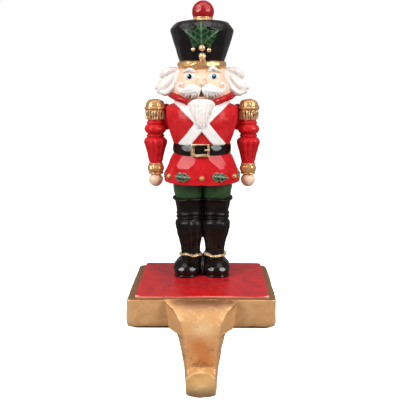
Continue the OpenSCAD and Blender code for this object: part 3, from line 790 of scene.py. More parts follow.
        # Painted shade and light on the tongue: dark brown along the flare's top and in the hook's floor, shaded
        # brown down the tongue's front, a painted highlight on the slope and painted light on the tip.
        dark, bright, shade_brown = (92, 40, 12), (255, 222, 168), (206, 120, 62)
        spots = (Spot((-17, -48, 20.0), 7, dark, 0.6),
                 *(Spot((x, -47.5, 20.0), 11, dark, 0.62) for x in (-11, -6, -1, 4, 9, 14)),
                 Spot((20, -47.5, 20.0), 7, dark, 0.7), Spot((1, -58, 4.0), 11, bright, 0.5),
                 Spot((0, -70, -27), 7, dark, 0.35), Spot((-1, -60, -6), 11, shade_brown, 0.75),
                 Spot((3, -60, -15), 11, shade_brown, 0.7), Spot((0, -81, -24), 17, (255, 199, 128), 0.95))
        paint = replace(GOLD, title="tongue gold paint", base=(224, 168, 110), hollow_shade_share=0.5,
                        edge=(255, 220, 168), metallic=0.12, spots=spots)
        form.piece("tongue_and_hook", paint, Slot.GOLD, reach=0.16, rounds=4, top_shade=0.35)


@dataclass
class Soldier:
    """Where the soldier stands and the heights that its parts share."""

    stand: tuple[float, float, float] = (0.0, 17.0, 21.3)
    boot_top: float = 56.7
    hem: float = 69.2
    belt: float = 90.7
    chest: float = 97.9
    shoulder: float = 127.9
    chin: float = 128.5
    band: float = 150.5
    hat: float = 156.1
    hat_top: float = 183.5


SOLDIER = Soldier()


@dataclass
class Legs:
    """Shoes, boots, ankle bands and trousers."""

    shift: float = 0.6
    shoe_apart: float = 11.2
    shoe_half_width: float = 9.5
    shoe_half_length: float = 15.5
    shoe_height: float = 12.6
    ankle_apart: float = 8.9
    calf_apart: float = 10.0
    ankle: float = 7.5
    calf: float = 10.8
    boot_keys: tuple[tuple[float, ...], ...] = (
        (6.0, 6.8, 0.0), (13.0, 7.5, 0.0), (16.0, 7.2, 0.02), (20.0, 7.3, 0.06), (24.7, 8.3, 0.09),
        (29.5, 9.6, 0.11), (34.0, 10.6, 0.1), (37.0, 10.9, 0.07), (39.2, 10.6, 0.03),
        (40.8, 9.7, 0.03), (41.6, 8.9, 0.0), (42.2, 8.9, 0.0), (42.7, 9.9, 0.0), (43.3, 10.1, 0.0),
        (43.9, 9.1, 0.0), (44.5, 9.0, 0.0), (45.5, 9.9, 0.0), (46.3, 10.0, 0.0), (47.1, 9.4, 0.0),
        (48.0, 9.4, 0.0), (50.0, 9.7, 0.02), (53.0, 10.3, 0.03), (55.0, 10.6, 0.02),
        (55.8, 11.0, 0.0), (56.4, 11.8, 0.0), (56.9, 12.1, 0.0), (57.5, 11.9, 0.0),
        (57.9, 11.0, 0.0), (58.0, 9.6, 0.0))
    trouser_keys: tuple[tuple[float, ...], ...] = (
        (57.4, 9.4), (58.2, 10.2), (61.0, 10.9), (64.0, 11.3), (67.0, 11.4), (70.5, 11.3), (73.0, 11.0))

    def build(self) -> None:
        """Builds both legs."""
        for side in Side:
            self._leg(side)
        web = Form().ball((self.shift, -1.0, 3.2), (3.2, 9.0, 11.2), 4).roughen(0.3, 3)
        web.ball((self.shift, 0.5, 43.0), (2.0, 5.0, 16.5), 4)
        web.piece("leg_webs", BLACK, Slot.BLACK, offset=SOLDIER.stand)

    def _lean(self, side: Side, z: float) -> float:
        """Returns the leg's middle at a height above the panel."""
        t = (z - self.shoe_height) / (SOLDIER.boot_top - self.shoe_height)
        return self.shift + side.value * (self.ankle_apart + (self.calf_apart - self.ankle_apart) * t)

    def _leg(self, side: Side) -> None:
        """One leg from shoe to trousers."""
        tag = side.name.lower()
        self._shoe(side, tag)
        keys = spline(self.boot_keys, 2)
        rings = [level(z, r, r, across=self._lean(side, z)) for z, r, _ in keys]
        folds = fluted(9, [max(k[2], 0.0) for k in keys], wander=0.16)

        form = Form().stack(rings, 96, folds).refine(1)

        def waver(p: Vector) -> Vector:
            a = math.atan2(p.y, p.x - self._lean(side, p.z))
            p.z += (0.34 * math.sin(3 * a + side.value) + 0.2 * math.sin(7 * a)) * ease(40, 43, p.z)
            return p
        form.shift(waver).roughen(0.35, 3.5)
        form.piece(f"boot_{tag}", BOOT_BLACK, Slot.BLACK, offset=SOLDIER.stand)
        self._band(side, tag)
        keys = spline(self.trouser_keys, 3)
        rings = [level(z, r, r, across=self._lean(side, z)) for z, r in keys]
        cloth = Form().stack(rings, 72, fluted(7, [0.03], wander=0.2)).refine(1).roughen(0.4, 5)
        cloth.piece(f"trousers_{tag}", GREEN, Slot.GREEN, offset=SOLDIER.stand)

    def _shoe(self, side: Side, tag: str) -> None:
        """A ball-toed shoe with whittled facets and a thin sole."""
        x = side.value * self.shoe_apart
        w, l, h = self.shoe_half_width, self.shoe_half_length, self.shoe_height
        mid = 1.5
        keys = [(-0.6, w - 1.6, l - 1.6), (0.0, w - 0.9, l - 0.9), (0.5, w - 0.3, l - 0.3),
                (1.4, w - 0.3, l - 0.3), (1.8, w - 1.0, l - 1.0), (2.3, w - 0.8, l - 0.8),
                (4.2, w - 0.1, l), (6.2, w + 0.1, l), (8.0, w - 0.5, l - 0.7), (9.8, w - 2.0, l - 2.6),
                (11.2, w - 4.2, l - 5.8), (12.2, w - 6.8, l - 10.2), (h, w - 9.2, l - 14.4)]
        keys = spline(keys, 2)
        rings = [level(z, max(a, 0.2), max(b, 0.3), mid, x) for z, a, b in keys]

        def toed(turn: float, ring: int) -> tuple[float, float]:
            round_share = min(1.0, max(keys[ring][1], 0.2) / max(keys[ring][2], 0.3))
            y = math.sin(turn)
            return math.cos(turn), math.copysign(1 - round_share, y) + round_share * y
        form = Form().stack(rings, 88, toed).refine(1)
        for azimuth, elevation, depth in ((-29, 21, 0.45), (29, 21, 0.45), (0, 30, 0.3), (-66, 24, 0.9),
                                          (68, 24, 0.9), (-50, 50, 0.9), (52, 50, 0.9), (-20, 52, 0.6),
                                          (22, 52, 0.6), (-110, 35, 1.0), (112, 35, 1.0), (180, 35, 1.2),
                                          (150, 20, 0.8), (-150, 20, 0.8)):
            form.whittle(azimuth - 2.5 * side.value, elevation, depth)
        form.roughen(0.05, 2.5)
        form.piece(f"shoe_{tag}", SHOE_BLACK, Slot.BLACK, offset=SOLDIER.stand)

    def _band(self, side: Side, tag: str) -> None:
        """The wavy gold band round an ankle."""
        keys = spline([(13.5, 7.2), (13.8, 8.3), (14.3, 9.0), (14.8, 9.0), (15.3, 8.3), (15.6, 7.2)], 2)
        rings = [level(z, r, r, across=self._lean(side, z)) for z, r in keys]
        form = Form().stack(rings, 72, fluted(11, [0.05], wander=0.3)).refine(1)

        def waver(p: Vector) -> Vector:
            a = math.atan2(p.y, p.x - self._lean(side, p.z))
            p.z += 0.55 * math.sin(2 * a + 0.8 * side.value) + 0.35 * math.sin(5 * a + side.value)
            return p
        form.shift(waver).roughen(0.3, 1.6)
        form.piece(f"ankle_band_{tag}", PALE_GILT, Slot.GOLD, reach=0.2, offset=SOLDIER.stand)


@dataclass
class Coat:
    """The red coat with its belt, cross straps and holly hem."""

    skirt_keys: tuple[tuple[float, ...], ...] = (
        (69.6, 25.4, 22.0, 0.0), (69.7, 26.7, 23.4, 0.0), (70.2, 27.4, 24.1, 0.0),
        (71.3, 27.6, 24.3, 0.0), (75.6, 26.9, 23.5, 0.2), (80.0, 25.9, 22.6, 0.3),
        (84.7, 24.4, 21.6, 0.4), (88.6, 22.0, 20.4, 0.6), (90.7, 20.6, 19.5, 0.6), (92.0, 19.8, 18.6, 0.6))
    chest_keys: tuple[tuple[float, ...], ...] = (
        (97.0, 20.2, 19.2, 0.8), (99.0, 21.0, 19.6, 0.9), (105.4, 23.3, 20.0, 1.2),
        (114.4, 25.5, 20.4, 1.4), (121.5, 26.2, 18.9, 1.0), (123.8, 25.8, 17.4, 0.6),
        (125.0, 24.6, 15.8, 0.2), (125.6, 22.6, 14.0, 0.0), (127.2, 18.6, 11.8, -0.4),
        (128.2, 16.0, 10.6, -0.6))
    strap_width: float = 7.4
    strap_thick: float = 1.3
    collar_at: float = 128.5

    def build(self) -> None:
        """Builds the coat and what is on it."""
        self._skirt()
        self._chest()
        self._belt()
        self._buckle()
        for side in Side:
            self._strap(side)
        self._collar()
        Trim().build()

    def _skirt(self) -> None:
        """The flared skirt with broad whittled facets."""
        keys = spline(self.skirt_keys, 4)
        rings = [level(z, rx, ry, cy) for z, rx, ry, cy in keys]
        form = Form().stack(rings, 160).refine(1)
        for azimuth, elevation, depth in (
                (-28, 19, 1.05), (29, 20, 1.0), (0, 16, 0.4), (-60, 18, 0.9), (60, 18, 0.9),
                (-88, 22, 0.8), (88, 22, 0.8), (0, 28, 0.35),
                (-118, 18, 0.8), (118, 18, 0.8), (-148, 22, 0.8), (148, 22, 0.8), (180, 18, 0.8),
                (48, 27, 0.6), (-48, 27, 0.6), (17, 7, 1.3), (42, 6, 1.2), (-16, 6, 1.0),
                (-41, 5, 1.1), (-28, 4, 1.2), (29, 3, 1.0)):
            form.whittle(azimuth, elevation, depth)
        form.roughen(0.16, 8)
        form.piece("coat_skirt", RED, Slot.RED, reach=0.28, rounds=6, offset=SOLDIER.stand)

    def _chest(self) -> None:
        """The chest and shoulders, with the webs under the arms."""
        keys = spline(self.chest_keys, 3)
        form = Form().stack([level(z, rx, ry, cy) for z, rx, ry, cy in keys], 144).refine(1)
        for azimuth, elevation, depth in ((-34, -8, 0.4), (34, -8, 0.4), (-62, -6, 0.5), (62, -6, 0.5),
                                          (-100, -6, 0.6), (100, -6, 0.6), (150, -6, 0.6), (-150, -6, 0.6),
                                          (180, 4, 0.5), (0, -10, 0.4)):
            form.whittle(azimuth, elevation, depth)
        form.roughen(0.3, 8)
        form.piece("coat_chest", CHEST_RED, Slot.RED, reach=0.3, offset=SOLDIER.stand)
        web = Form().ball((25.6, 3.0, 116.4), (4.4, 5.4, 9.6), 4).mirrored().roughen(0.3, 4)
        web.piece("coat_armpits", RED, Slot.RED, offset=SOLDIER.stand)

    def surface(self, x: float, z: float, grow: float, back: bool = False) -> Vector:
        """Returns the point of the chest's skin at x and z.

        Args:
            x: Place across.
            z: Height in the soldier's frame.
            grow: Distance off the skin.
            back: True for the soldier's back.
        """
        keys = spline(self.chest_keys, 6)
        for low, high in zip(keys, keys[1:]):
            if z <= high[0]:
                break
        t = min(1.0, max(0.0, (z - low[0]) / max(high[0] - low[0], 1e-6)))
        rx, ry, cy = (low[i] + (high[i] - low[i]) * t for i in (1, 2, 3))
        depth = (ry + grow) * math.sqrt(max(0.0, 1 - (x / (rx + grow)) ** 2))
        return Vector((x, depth - cy if back else -depth - cy, z))

    def _strap(self, side: Side) -> None:
        """A white strap from the belt, over the chest and shoulder, and down the back."""
        s = side.value
        sunk = 0.25
        flat = [(-13.9, 96.4), (-12.5, 98.3), (-9.4, 101.8), (-4.8, 107.6), (0.0, 113.4), (5.2, 118.6),
                (9.6, 122.8), (12.4, 125.0)]
        points = [self.surface(x, z, sunk) for x, z in flat]
        points += [Vector((15.0, -9.4, 127.4)), Vector((16.4, -4.0, 128.2)), Vector((16.4, 3.0, 128.2)),
                   Vector((15.0, 9.0, 127.0))]
        points += [self.surface(x, z, sunk, back=True) for x, z in reversed(flat)]
        path = spline([tuple(p) for p in points], 5)
        rings = []
        for k, p in enumerate(path):
            here = Vector(p)
            ahead = (Vector(path[min(k + 1, len(path) - 1)]) - Vector(path[max(k - 1, 0)])).normalized()
            away = Vector((here.x * 0.62, here.y, max(0.0, here.z - 121) * 3.0)).normalized()
            across = away.cross(ahead).normalized()
            out = ahead.cross(across)
            turn = Matrix((across * self.strap_width / 2, out * self.strap_thick, ahead)).transposed()
            rings.append(Matrix.Translation(here) @ turn.to_4x4())

        def tuck(p: Vector) -> Vector:
            under = max(0.0, SOLDIER.chest + 0.3 - p.z)
            inward = 1 - 0.07 * under
            return Vector((s * p.x * inward, p.y * inward, p.z))
        form = Form().stack(rings, 32, squarish(5.0)).refine(1).shift(tuck).roughen(0.2, 3)
        form.piece(f"cross_strap_{side.name.lower()}", STRAP_WHITE, Slot.WHITE, offset=SOLDIER.stand)

    def _belt(self) -> None:
        """The black belt, a little uneven and faceted."""
        z = SOLDIER.belt
        keys = [(z - 0.9, 18.6, 18.0, 0.6), (z - 0.4, 20.0, 19.6, 0.6), (z, 20.5, 20.1, 0.6),
                (z + 0.8, 20.9, 20.5, 0.6), (z + 2.2, 21.3, 20.9, 0.6), (z + 3.8, 21.5, 21.1, 0.65),
                (z + 5.4, 21.4, 20.9, 0.7), (z + 6.6, 21.0, 20.4, 0.7), (z + 7.2, 20.7, 20.0, 0.75),
                (z + 7.5, 20.0, 19.2, 0.8)]
        form = Form().stack([level(*k) for k in spline(keys, 2)], 144).refine(1)
        for azimuth, elevation, depth in ((-30, 9, 0.45), (-52, 2, 0.3), (29, 9, 0.45), (12, -4, 0.3),
                                          (60, 4, 0.6), (-66, -6, 0.6), (-90, 6, 0.6), (92, 0, 0.6),
                                          (120, 6, 0.6), (-120, 4, 0.6), (150, 0, 0.6), (-150, 0, 0.6),
                                          (180, 6, 0.6)):
            form.whittle(azimuth, elevation, depth)
        form.shift(lambda p: Vector((p.x, p.y, p.z + 0.25 * math.sin(p.x / 5))))
        form.piece("belt", HAT_BLACK, Slot.BLACK, offset=SOLDIER.stand)

    def _buckle(self) -> None:
        """The gold buckle frame, bent to the belt, with its prong."""
        form = Form()
        bm = form.bm
        half_w, half_h = 6.6, 4.5
        left, right, top, low = -4.0, 5.1, 3.3, -2.6
        grid = bmesh.ops.create_grid(bm, x_segments=1, y_segments=1, size=1.0,
                                     matrix=Matrix.Diagonal((half_w, half_h, 1, 1)))
        face = grid["verts"][0].link_faces[0]
        bmesh.ops.inset_region(bm, faces=[face], thickness=1.4, use_boundary=True)
        for v in face.verts:
            v.co.x = left if v.co.x < 0 else right
            v.co.y = low if v.co.y < 0 else top
        bmesh.ops.delete(bm, geom=[face], context="FACES")
        bmesh.ops.subdivide_edges(bm, edges=bm.edges, cuts=5, use_grid_fill=True)
        out = bmesh.ops.extrude_face_region(bm, geom=bm.faces[:])["geom"]
        bmesh.ops.translate(bm, vec=(0, 0, 2.0), verts=[g for g in out if isinstance(g, bmesh.types.BMVert)])
        bmesh.ops.recalc_face_normals(bm, faces=bm.faces)
        sharp = [e for e in bm.edges if len(e.link_faces) == 2 and e.calc_face_angle() > 1.0]
        bmesh.ops.bevel(bm, geom=sharp, offset=0.55, segments=2, profile=0.5, affect="EDGES", material=-1)
        stand = Matrix.Rotation(math.radians(90), 4, "X")
        form.place(Matrix.Translation((-1.2, -21.1, SOLDIER.belt + 3.7)) @ stand)
        form.stack(along(spline([(5.2, -23.0, 94.6, 0.9, 0.6), (3.6, -23.2, 94.9, 0.7, 0.5),
                                 (2.0, -23.1, 94.8, 0.35, 0.35)], 3)), 16)
        form.shift(lambda p: Vector((p.x, p.y + 0.02 * p.x * p.x, p.z))).roughen(0.3, 1.8)
        form.piece("buckle", PALE_GILT, Slot.GOLD, reach=0.2, rounds=4, offset=SOLDIER.stand)

    def _collar(self) -> None:
        """The red scarf collar, which drops to both sides of the beard."""
        z = self.collar_at + 1.2
        ring = [(z - 4, 16.0, 11.0, 0.0), (z - 1, 18.0, 12.0, 0.0), (z + 1.6, 20.6, 12.8, -0.6),
                (z + 3.0, 20.4, 12.4, -1.0), (z + 3.6, 17.6, 10.2, -1.0)]
        form = Form().stack([level(*k) for k in spline(ring, 3)], 96)
        for path in (((23.0, -1.0, z + 3.0, 1.6, 1.8), (21.0, -6.0, z + 2.2, 2.3, 2.4),
                      (17.0, -11.6, z + 0.8, 2.5, 2.8), (12.6, -15.6, z - 0.4, 1.9, 2.4),
                      (8.4, -18.0, z - 2.0, 1.6, 2.0), (5.6, -19.2, z - 3.4, 1.1, 1.3)),
                     ((20.0, -7.6, z + 0.9, 0.9, 1.3), (16.0, -12.8, z - 0.4, 1.4, 1.8),
                      (12.2, -16.0, z - 1.7, 1.6, 1.8), (9.0, -17.6, z - 3.0, 1.4, 1.6),
                      (7.2, -18.6, z - 3.8, 0.8, 1.0))):
            form.stack(along(spline(path, 4)), 40, squarish(2.3))
            mirror = [(-x, *rest) for x, *rest in path]
            form.stack(along(spline(mirror, 4)), 40, squarish(2.3))
        form.refine(1).roughen(0.45, 4)
        form.piece("collar", COLLAR_RED, Slot.RED, reach=0.4, offset=SOLDIER.stand)


@dataclass
class Holly:
    """A holly leaf with pointed lobes, a folded middle and raised veins."""

    length: float = 16.0
    width: float = 9.5
    thick: float = 1.0
    lobes: tuple[tuple[float, float], ...] = (
        (0.0, 0.12), (0.08, 0.4), (0.18, 0.8), (0.27, 1.0), (0.33, 0.8), (0.42, 0.68), (0.51, 0.86),
        (0.59, 0.98), (0.65, 0.72), (0.74, 0.52), (0.82, 0.46), (0.87, 0.26), (1.0, 0.03))

    def half_width(self, t: float) -> float:
        """Returns the half width at a share t of the length."""
        for (t0, w0), (t1, w1) in zip(self.lobes, self.lobes[1:]):
            if t <= t1:
                return (w0 + (w1 - w0) * (t - t0) / (t1 - t0)) * self.width / 2
        return 0.03 * self.width / 2

    def add_to(self, form: Form, matrix: Matrix, wrap: Callable[[Vector], Vector]) -> None:
        """Adds the leaf to a form that has a vein layer.

        Args:
            form: The form that takes the leaf.
            matrix: Where the leaf goes. It lies in X and Z, with its face to the front.
            wrap: Moves each point onto what carries the leaf.
        """
        bm = form.bm
        vein = bm.verts.layers.float.get("vein") or bm.verts.layers.float.new("vein")
        before = set(bm.verts)
        bmesh.ops.create_grid(bm, x_segments=44, y_segments=20, size=1.0)
        fresh = [v for v in bm.verts if v not in before]
        for v in fresh:
            t, u = (v.co.x + 1) / 2, v.co.y
            x, z = t * self.length, u * self.half_width(t)
            rib = math.exp(-((abs(u) * self.half_width(max(t, 0.05)) / 0.42) ** 2))
            side = (t * 4.2 + abs(u) * -0.9) % 1.0
            branch = math.exp(-(((side - 0.5) / 0.11) ** 2)) * (abs(u) < 0.92) * (t < 0.93)
            rim = ease(0.86, 1.0, abs(u))
            v[vein] = min(0.8, 0.6 * rib + 0.35 * branch + 0.6 * rim)
            lift = 0.5 * (1 - abs(u)) + 0.3 * rib - 0.18 * branch
            v.co = Vector((x, -lift, z))
        top = [f for f in bm.faces if f.verts[0] not in before]
        out = bmesh.ops.extrude_face_region(bm, geom=top)["geom"]
        raised = [g for g in out if isinstance(g, bmesh.types.BMVert)]
        bmesh.ops.translate(bm, vec=(0, -self.thick, 0), verts=raised)
        bmesh.ops.delete(bm, geom=[f for f in top if f.is_valid], context="FACES_KEEP_BOUNDARY")
        skirt = [v for v in bm.verts if v not in before]
        rim_edges = [e for v in skirt for e in v.link_edges if e.is_boundary]
        bmesh.ops.edgeloop_fill(bm, edges=list(set(rim_edges)))
        for v in bm.verts:
            if v not in before:
                v.co = wrap(matrix @ v.co)


@dataclass
class Trim:
    """Gold beads and holly leaves round the coat's hem."""

    height: float = 75.2
    bead: float = 2.1
    half_width: float = 27.0
    half_depth: float = 23.8

    def build(self) -> None:
        """Builds the twelve ornaments, beads and leaves by turns."""
        beads, leaves = Form(), Form()
        for i in range(12):
            a = math.radians(30 * i)
            spot = Vector((self.half_width * math.sin(a), -self.half_depth * math.cos(a), self.height))
            if i % 2 == 0:
                bead = Form()
                bead.ball((0, 0, 0), (self.bead,) * 3, 3).whittle_round(14, 0.22, i)
                bead.place(Matrix.Translation(spot * 0.995))
                beads.take(bead)
            else:
                self._leaf(leaves, a, spot, i)
        beads.piece("hem_beads", GILT, Slot.GOLD, reach=0.15, rounds=3, offset=SOLDIER.stand)
        leaves.piece("hem_leaves", HEM_LEAF, Slot.GREEN, reach=0.3, rounds=4, offset=SOLDIER.stand)

    def _leaf(self, leaves: Form, a: float, spot: Vector, index: int) -> None:
        """One leaf, which lies on the skirt's slope."""
        yaw = math.atan2(math.sin(a) * self.half_depth, math.cos(a) * self.half_width)
        tilt = math.radians((8 if index % 4 == 1 else -3) * (1 if a < math.pi else -1))
        turn = (Matrix.Rotation(yaw, 4, "Z") @ Matrix.Rotation(math.radians(-17), 4, "X")
                @ Matrix.Rotation(tilt, 4, "Y"))
        holly = Holly(length=12.4, width=7.0, thick=1.9)
        matrix = Matrix.Translation(spot) @ turn @ Matrix.Translation((-holly.length / 2, 1.2, 0))

        def wrap(p: Vector) -> Vector:
            t = (p.z - 69.0) / 21.0
            rx, ry = 27.6 - 7.0 * max(t, 0) ** 1.6, 24.2 - 4.8 * max(t, 0) ** 1.6
            k = math.sqrt((p.x / rx) ** 2 + (p.y / ry) ** 2)
            pull = (1 + k - self._flat(spot, p, rx, ry)) / k
            return Vector((p.x * pull, p.y * pull, p.z))
        holly.add_to(leaves, matrix, wrap)

    def _flat(self, spot: Vector, p: Vector, rx: float, ry: float) -> float:
        """Returns how far out the leaf's own flat middle lies at a point."""
        away = Vector((spot.x, spot.y, 0)).normalized()
        out = Vector((p.x, p.y, 0)).dot(away)
        flat = Vector((spot.x, spot.y, 0)).length - 0.31 * (p.z - spot.z)
        there = away * flat + (Vector((p.x, p.y, 0)) - away * out)
        return math.sqrt((there.x / rx) ** 2 + (there.y / ry) ** 2)


@dataclass
class Arms:
    """Turned arms: epaulette, sleeve, cuff and ball hand."""

    across: float = 33.7
    back: float = 1.0
    top: float = 129.3
    length: float = 63.5
    hand_r: float = 5.1
    sleeve_r: float = 8.2
    epaulette_r: float = 7.3
    cuff_keys: tuple[tuple[float, ...], ...] = (
        (-0.856, 0.7, 0.0), (-0.852, 0.98, 0.0), (-0.844, 1.06, 0.0), (-0.836, 1.0, 0.0), (-0.83, 0.98, 0.0),
        (-0.82, 1.08, 0.04), (-0.798, 1.19, 0.05), (-0.775, 1.18, 0.05), (-0.752, 1.08, 0.03),
        (-0.744, 0.98, 0.0), (-0.736, 1.02, 0.0), (-0.728, 0.98, 0.0), (-0.722, 0.8, 0.0))
    sleeve_keys: tuple[tuple[float, ...], ...] = (
        (-0.745, 0.5, 0.0), (-0.7, 0.62, 0.06), (-0.64, 0.72, 0.11), (-0.56, 0.88, 0.13),
        (-0.5, 1.02, 0.12), (-0.475, 1.04, 0.1), (-0.452, 0.96, 0.05), (-0.436, 0.8, 0.0),
        (-0.428, 0.72, 0.0), (-0.422, 0.76, 0.0), (-0.412, 0.8, 0.0), (-0.402, 0.74, 0.0),
        (-0.394, 0.68, 0.0), (-0.384, 0.76, 0.0), (-0.362, 0.92, 0.02), (-0.336, 0.99, 0.03),
        (-0.31, 0.92, 0.02), (-0.29, 0.76, 0.0), (-0.282, 0.7, 0.0), (-0.274, 0.74, 0.0),
        (-0.264, 0.78, 0.0), (-0.254, 0.72, 0.0), (-0.24, 0.66, 0.0), (-0.21, 0.6, 0.0))
    epaulette_keys: tuple[tuple[float, ...], ...] = (
        (-0.232, 0.6, 0.0), (-0.228, 0.9, 0.09), (-0.215, 0.97, 0.12), (-0.18, 0.98, 0.13),
        (-0.142, 1.0, 0.12), (-0.13, 0.97, 0.06), (-0.122, 0.92, 0.0), (-0.114, 1.0, 0.0),
        (-0.102, 1.07, 0.0), (-0.09, 1.05, 0.0), (-0.082, 0.96, 0.0), (-0.06, 0.93, 0.02),
        (-0.036, 0.86, 0.03), (-0.018, 0.72, 0.02), (-0.006, 0.5, 0.0), (0.0, 0.26, 0.0), (0.001, 0.03, 0.0))

    def build(self) -> None:
        """Builds both arms."""
        for side in Side:
            self._arm(side)

    def _turned(self, keys: Sequence[Sequence[float]], radius: float, count: int, per: int,
                side: Side) -> Form:
        """Turns one run of keys, with flutes."""
        dense = spline(keys, per)
        rings = [level(self.top + t * self.length, r * radius, r * radius, self.back,
                       side.value * self.across) for t, r, _ in dense]
        flutes = fluted(count, [max(0.0, k[2]) for k in dense], wander=0.05)
        return Form().stack(rings, 96, flutes).refine(1)

    def _arm(self, side: Side) -> None:
        """One arm from hand to epaulette."""
        tag = side.name.lower()
        stand = SOLDIER.stand
        low = self.top - self.length
        hand = Form().ball((side.value * self.across, -self.back, low + self.hand_r),
                           (self.hand_r,) * 3, 5)
        hand.whittle_round(16, 0.16, 3).whittle(0, 90, 0.6).roughen(0.2, 3)
        hand.piece(f"hand_{tag}", HAND, Slot.FLESH, offset=stand)
        cuff = self._turned(self.cuff_keys, self.hand_r, 9, 2, side).roughen(0.25, 2)
        cuff.piece(f"cuff_{tag}", GILT, Slot.GOLD, reach=0.2, offset=stand)
        sleeve = self._turned(self.sleeve_keys, self.sleeve_r, 11, 2, side).roughen(0.2, 3)
        sleeve.piece(f"sleeve_{tag}", RED, Slot.RED, reach=0.3, offset=stand)
        cap = self._turned(self.epaulette_keys, self.epaulette_r, 22, 2, side).roughen(0.3, 2.4)
        cap.piece(f"epaulette_{tag}", GILT, Slot.GOLD, reach=0.22, offset=stand)


@dataclass
class Head:
    """Face, eyes, brows, moustache, beard and hair."""

    cheek: float = 20.9
    chin: float = 128.5
    height: float = 22.0
    hair: float = 32.4

    def build(self) -> None:
        """Builds the head."""
        self._face()
        self._eyes()
        self._brows()
        self._moustache()
        self._beard()
        self._hair()

    def _face(self) -> None:
        """The round face with its nose, cheeks and mouth."""
        c, z, h = self.cheek, self.chin, self.height
        keys = [(z - 4.0, 0.4, 0.36, 0.0), (z - 2.6, 0.66, 0.56, 0.0), (z + 0.4, 0.86, 0.73, 0.2),
                (z + h * 0.18, 0.98, 0.83, 0.4), (z + h * 0.36, 1.0, 0.85, 0.4), (z + h * 0.62, 0.955, 0.82, 0.2),
                (z + h * 0.86, 0.865, 0.78, 0.0), (z + h * 1.02, 0.8, 0.75, 0.0), (z + h * 1.1, 0.6, 0.6, 0.0)]
        rings = [level(a, c * b, c * d, e) for a, b, d, e in spline(keys, 8)]
        form = Form().stack(rings, 160, squarish(2.15)).refine(1)
        bumps = [((-0.6, z + h * 0.56), (3.1, 2.7), 5.6), ((-0.6, z + h * 0.74), (2.6, 3.8), 0.9),
                 ((-11.5, z + h * 0.42), (5.5, 4.2), 0.9), ((11.5, z + h * 0.42), (5.5, 4.2), 0.9),
                 ((-8.7, z + h * 0.78), (4.4, 2.6), -0.7), ((8.7, z + h * 0.78), (4.4, 2.6), -0.7),
                 ((-0.5, z + 2.2), (3.4, 1.5), 1.7), ((-0.5, z - 1.6), (5.0, 2.4), 0.8)]

        def model(p: Vector) -> Vector:
            if p.y < 0:
                for (cx, cz), (sx, sz), height in bumps:
                    away = ((p.x - cx) / sx) ** 2 + ((p.z - cz) / sz) ** 2
                    p.y -= height * math.exp(-away * (1 + 0.7 * away))
            return p
        form.shift(model)
        x, y, s = SOLDIER.stand
        spots = tuple(Spot((k * 12.5 + x, y - 14.4, s + z + h * 0.44), 5.2, (238, 142, 126), 0.62)
                      for k in (-1, 1))
        spots += (Spot((x - 0.5, y - 22.0, s + z + h * 0.55), 3.4, (240, 160, 132), 0.4),
                  Spot((x - 0.5, y - 19.5, s + z + 2.0), 3.0, (226, 126, 100), 0.8),
                  # Painted shade: dark brown under the moustache's lower edge, which shows between its tufts.
                  Spot((x - 8.0, y - 17.5, s + z + 2.4), 4.6, (120, 62, 46), 0.75),
                  Spot((x + 7.0, y - 17.5, s + z + 2.4), 4.6, (120, 62, 46), 0.75))
        paint = replace(FLESH, title="face flesh paint", spots=spots)
        form.piece("face", paint, Slot.FLESH, reach=0.35, rounds=12, offset=SOLDIER.stand)
        mouth = Form().ball((-0.5, -18.0, z + 4.6), (2.2, 1.9, 1.7), 3)
        mouth.piece("mouth", MOUTH, Slot.BLACK, offset=SOLDIER.stand)

    def _on_face(self, x: float, z: float) -> float:
        """Returns Y of the face's skin at x and z."""
        t = (z - self.chin) / self.height
        k = 1.0 if t < 0.4 else 1 - 0.22 * ((t - 0.4) / 0.6) ** 1.3
        rx, ry = self.cheek * k, self.cheek * (0.85 - 0.1 * max(0.0, t - 0.5))
        return -0.3 - ry * math.sqrt(max(0.0, 1 - (x / rx) ** 2))

    def _eyes(self) -> None:
        """Domed eyes with an iris, a pupil and a glint."""
        z = self.chin + self.height * 0.765
        stand = SOLDIER.stand
        for side, ring in ((Side.LEFT, PUPIL), (Side.RIGHT, IRIS)):
            x = side.value * 8.2
            tag = side.name.lower()
            turn = Matrix.Rotation(math.radians(24 * side.value), 4, "Z")
            hold = Matrix.Translation((x, self._on_face(x, z) + 1.1, z)) @ turn
            Form().ball((0, 0, 0), (3.6, 1.7, 2.7), 4).place(hold).piece(
                f"eye_{tag}", EYE_WHITE, Slot.WHITE, reach=2.0, offset=stand)
            look = -0.1 - 0.2 * side.value
            Form().ball((look, -1.25, 0.05), (1.8, 0.8, 1.8), 3).place(hold).piece(
                f"iris_{tag}", ring, Slot.BLACK, offset=stand)
            Form().ball((look, -1.72, 0.0), (1.1, 0.48, 1.1), 3).place(hold).piece(
                f"pupil_{tag}", PUPIL, Slot.BLACK, offset=stand)
            Form().ball((look - 0.4, -2.05, 0.6), (0.42, 0.2, 0.42), 2).place(hold).piece(
                f"glint_{tag}", STRAP_WHITE, Slot.WHITE, reach=2.0, offset=stand)

    def _brows(self) -> None:
        """White brows, the right one higher and peaked."""
        form = Form()
        z = self.chin + self.height
        for path in ([(-4.6, z - 1.9, 0.6), (-6.4, z - 0.9, 1.2), (-9.0, z - 0.5, 1.4), (-11.4, z - 1.3, 1.0),
                      (-12.8, z - 2.4, 0.4)],
                     [(4.4, z - 1.3, 0.6), (5.8, z - 0.3, 1.2), (7.2, z + 0.9, 1.6), (9.4, z - 0.2, 1.4),
                      (11.6, z - 1.3, 0.9), (13.0, z - 2.2, 0.4)]):
            keys = [(x, self._on_face(x, h - 1.5) - 0.2, h, w, w) for x, h, w in path]
            dense = spline(keys, 4)
            form.stack(along(dense), 32, fluted(5, [0.1]))
        form.refine(1).roughen(0.3, 1.5)
        form.piece("brows", WHITE, Slot.WHITE, reach=0.2, offset=SOLDIER.stand)

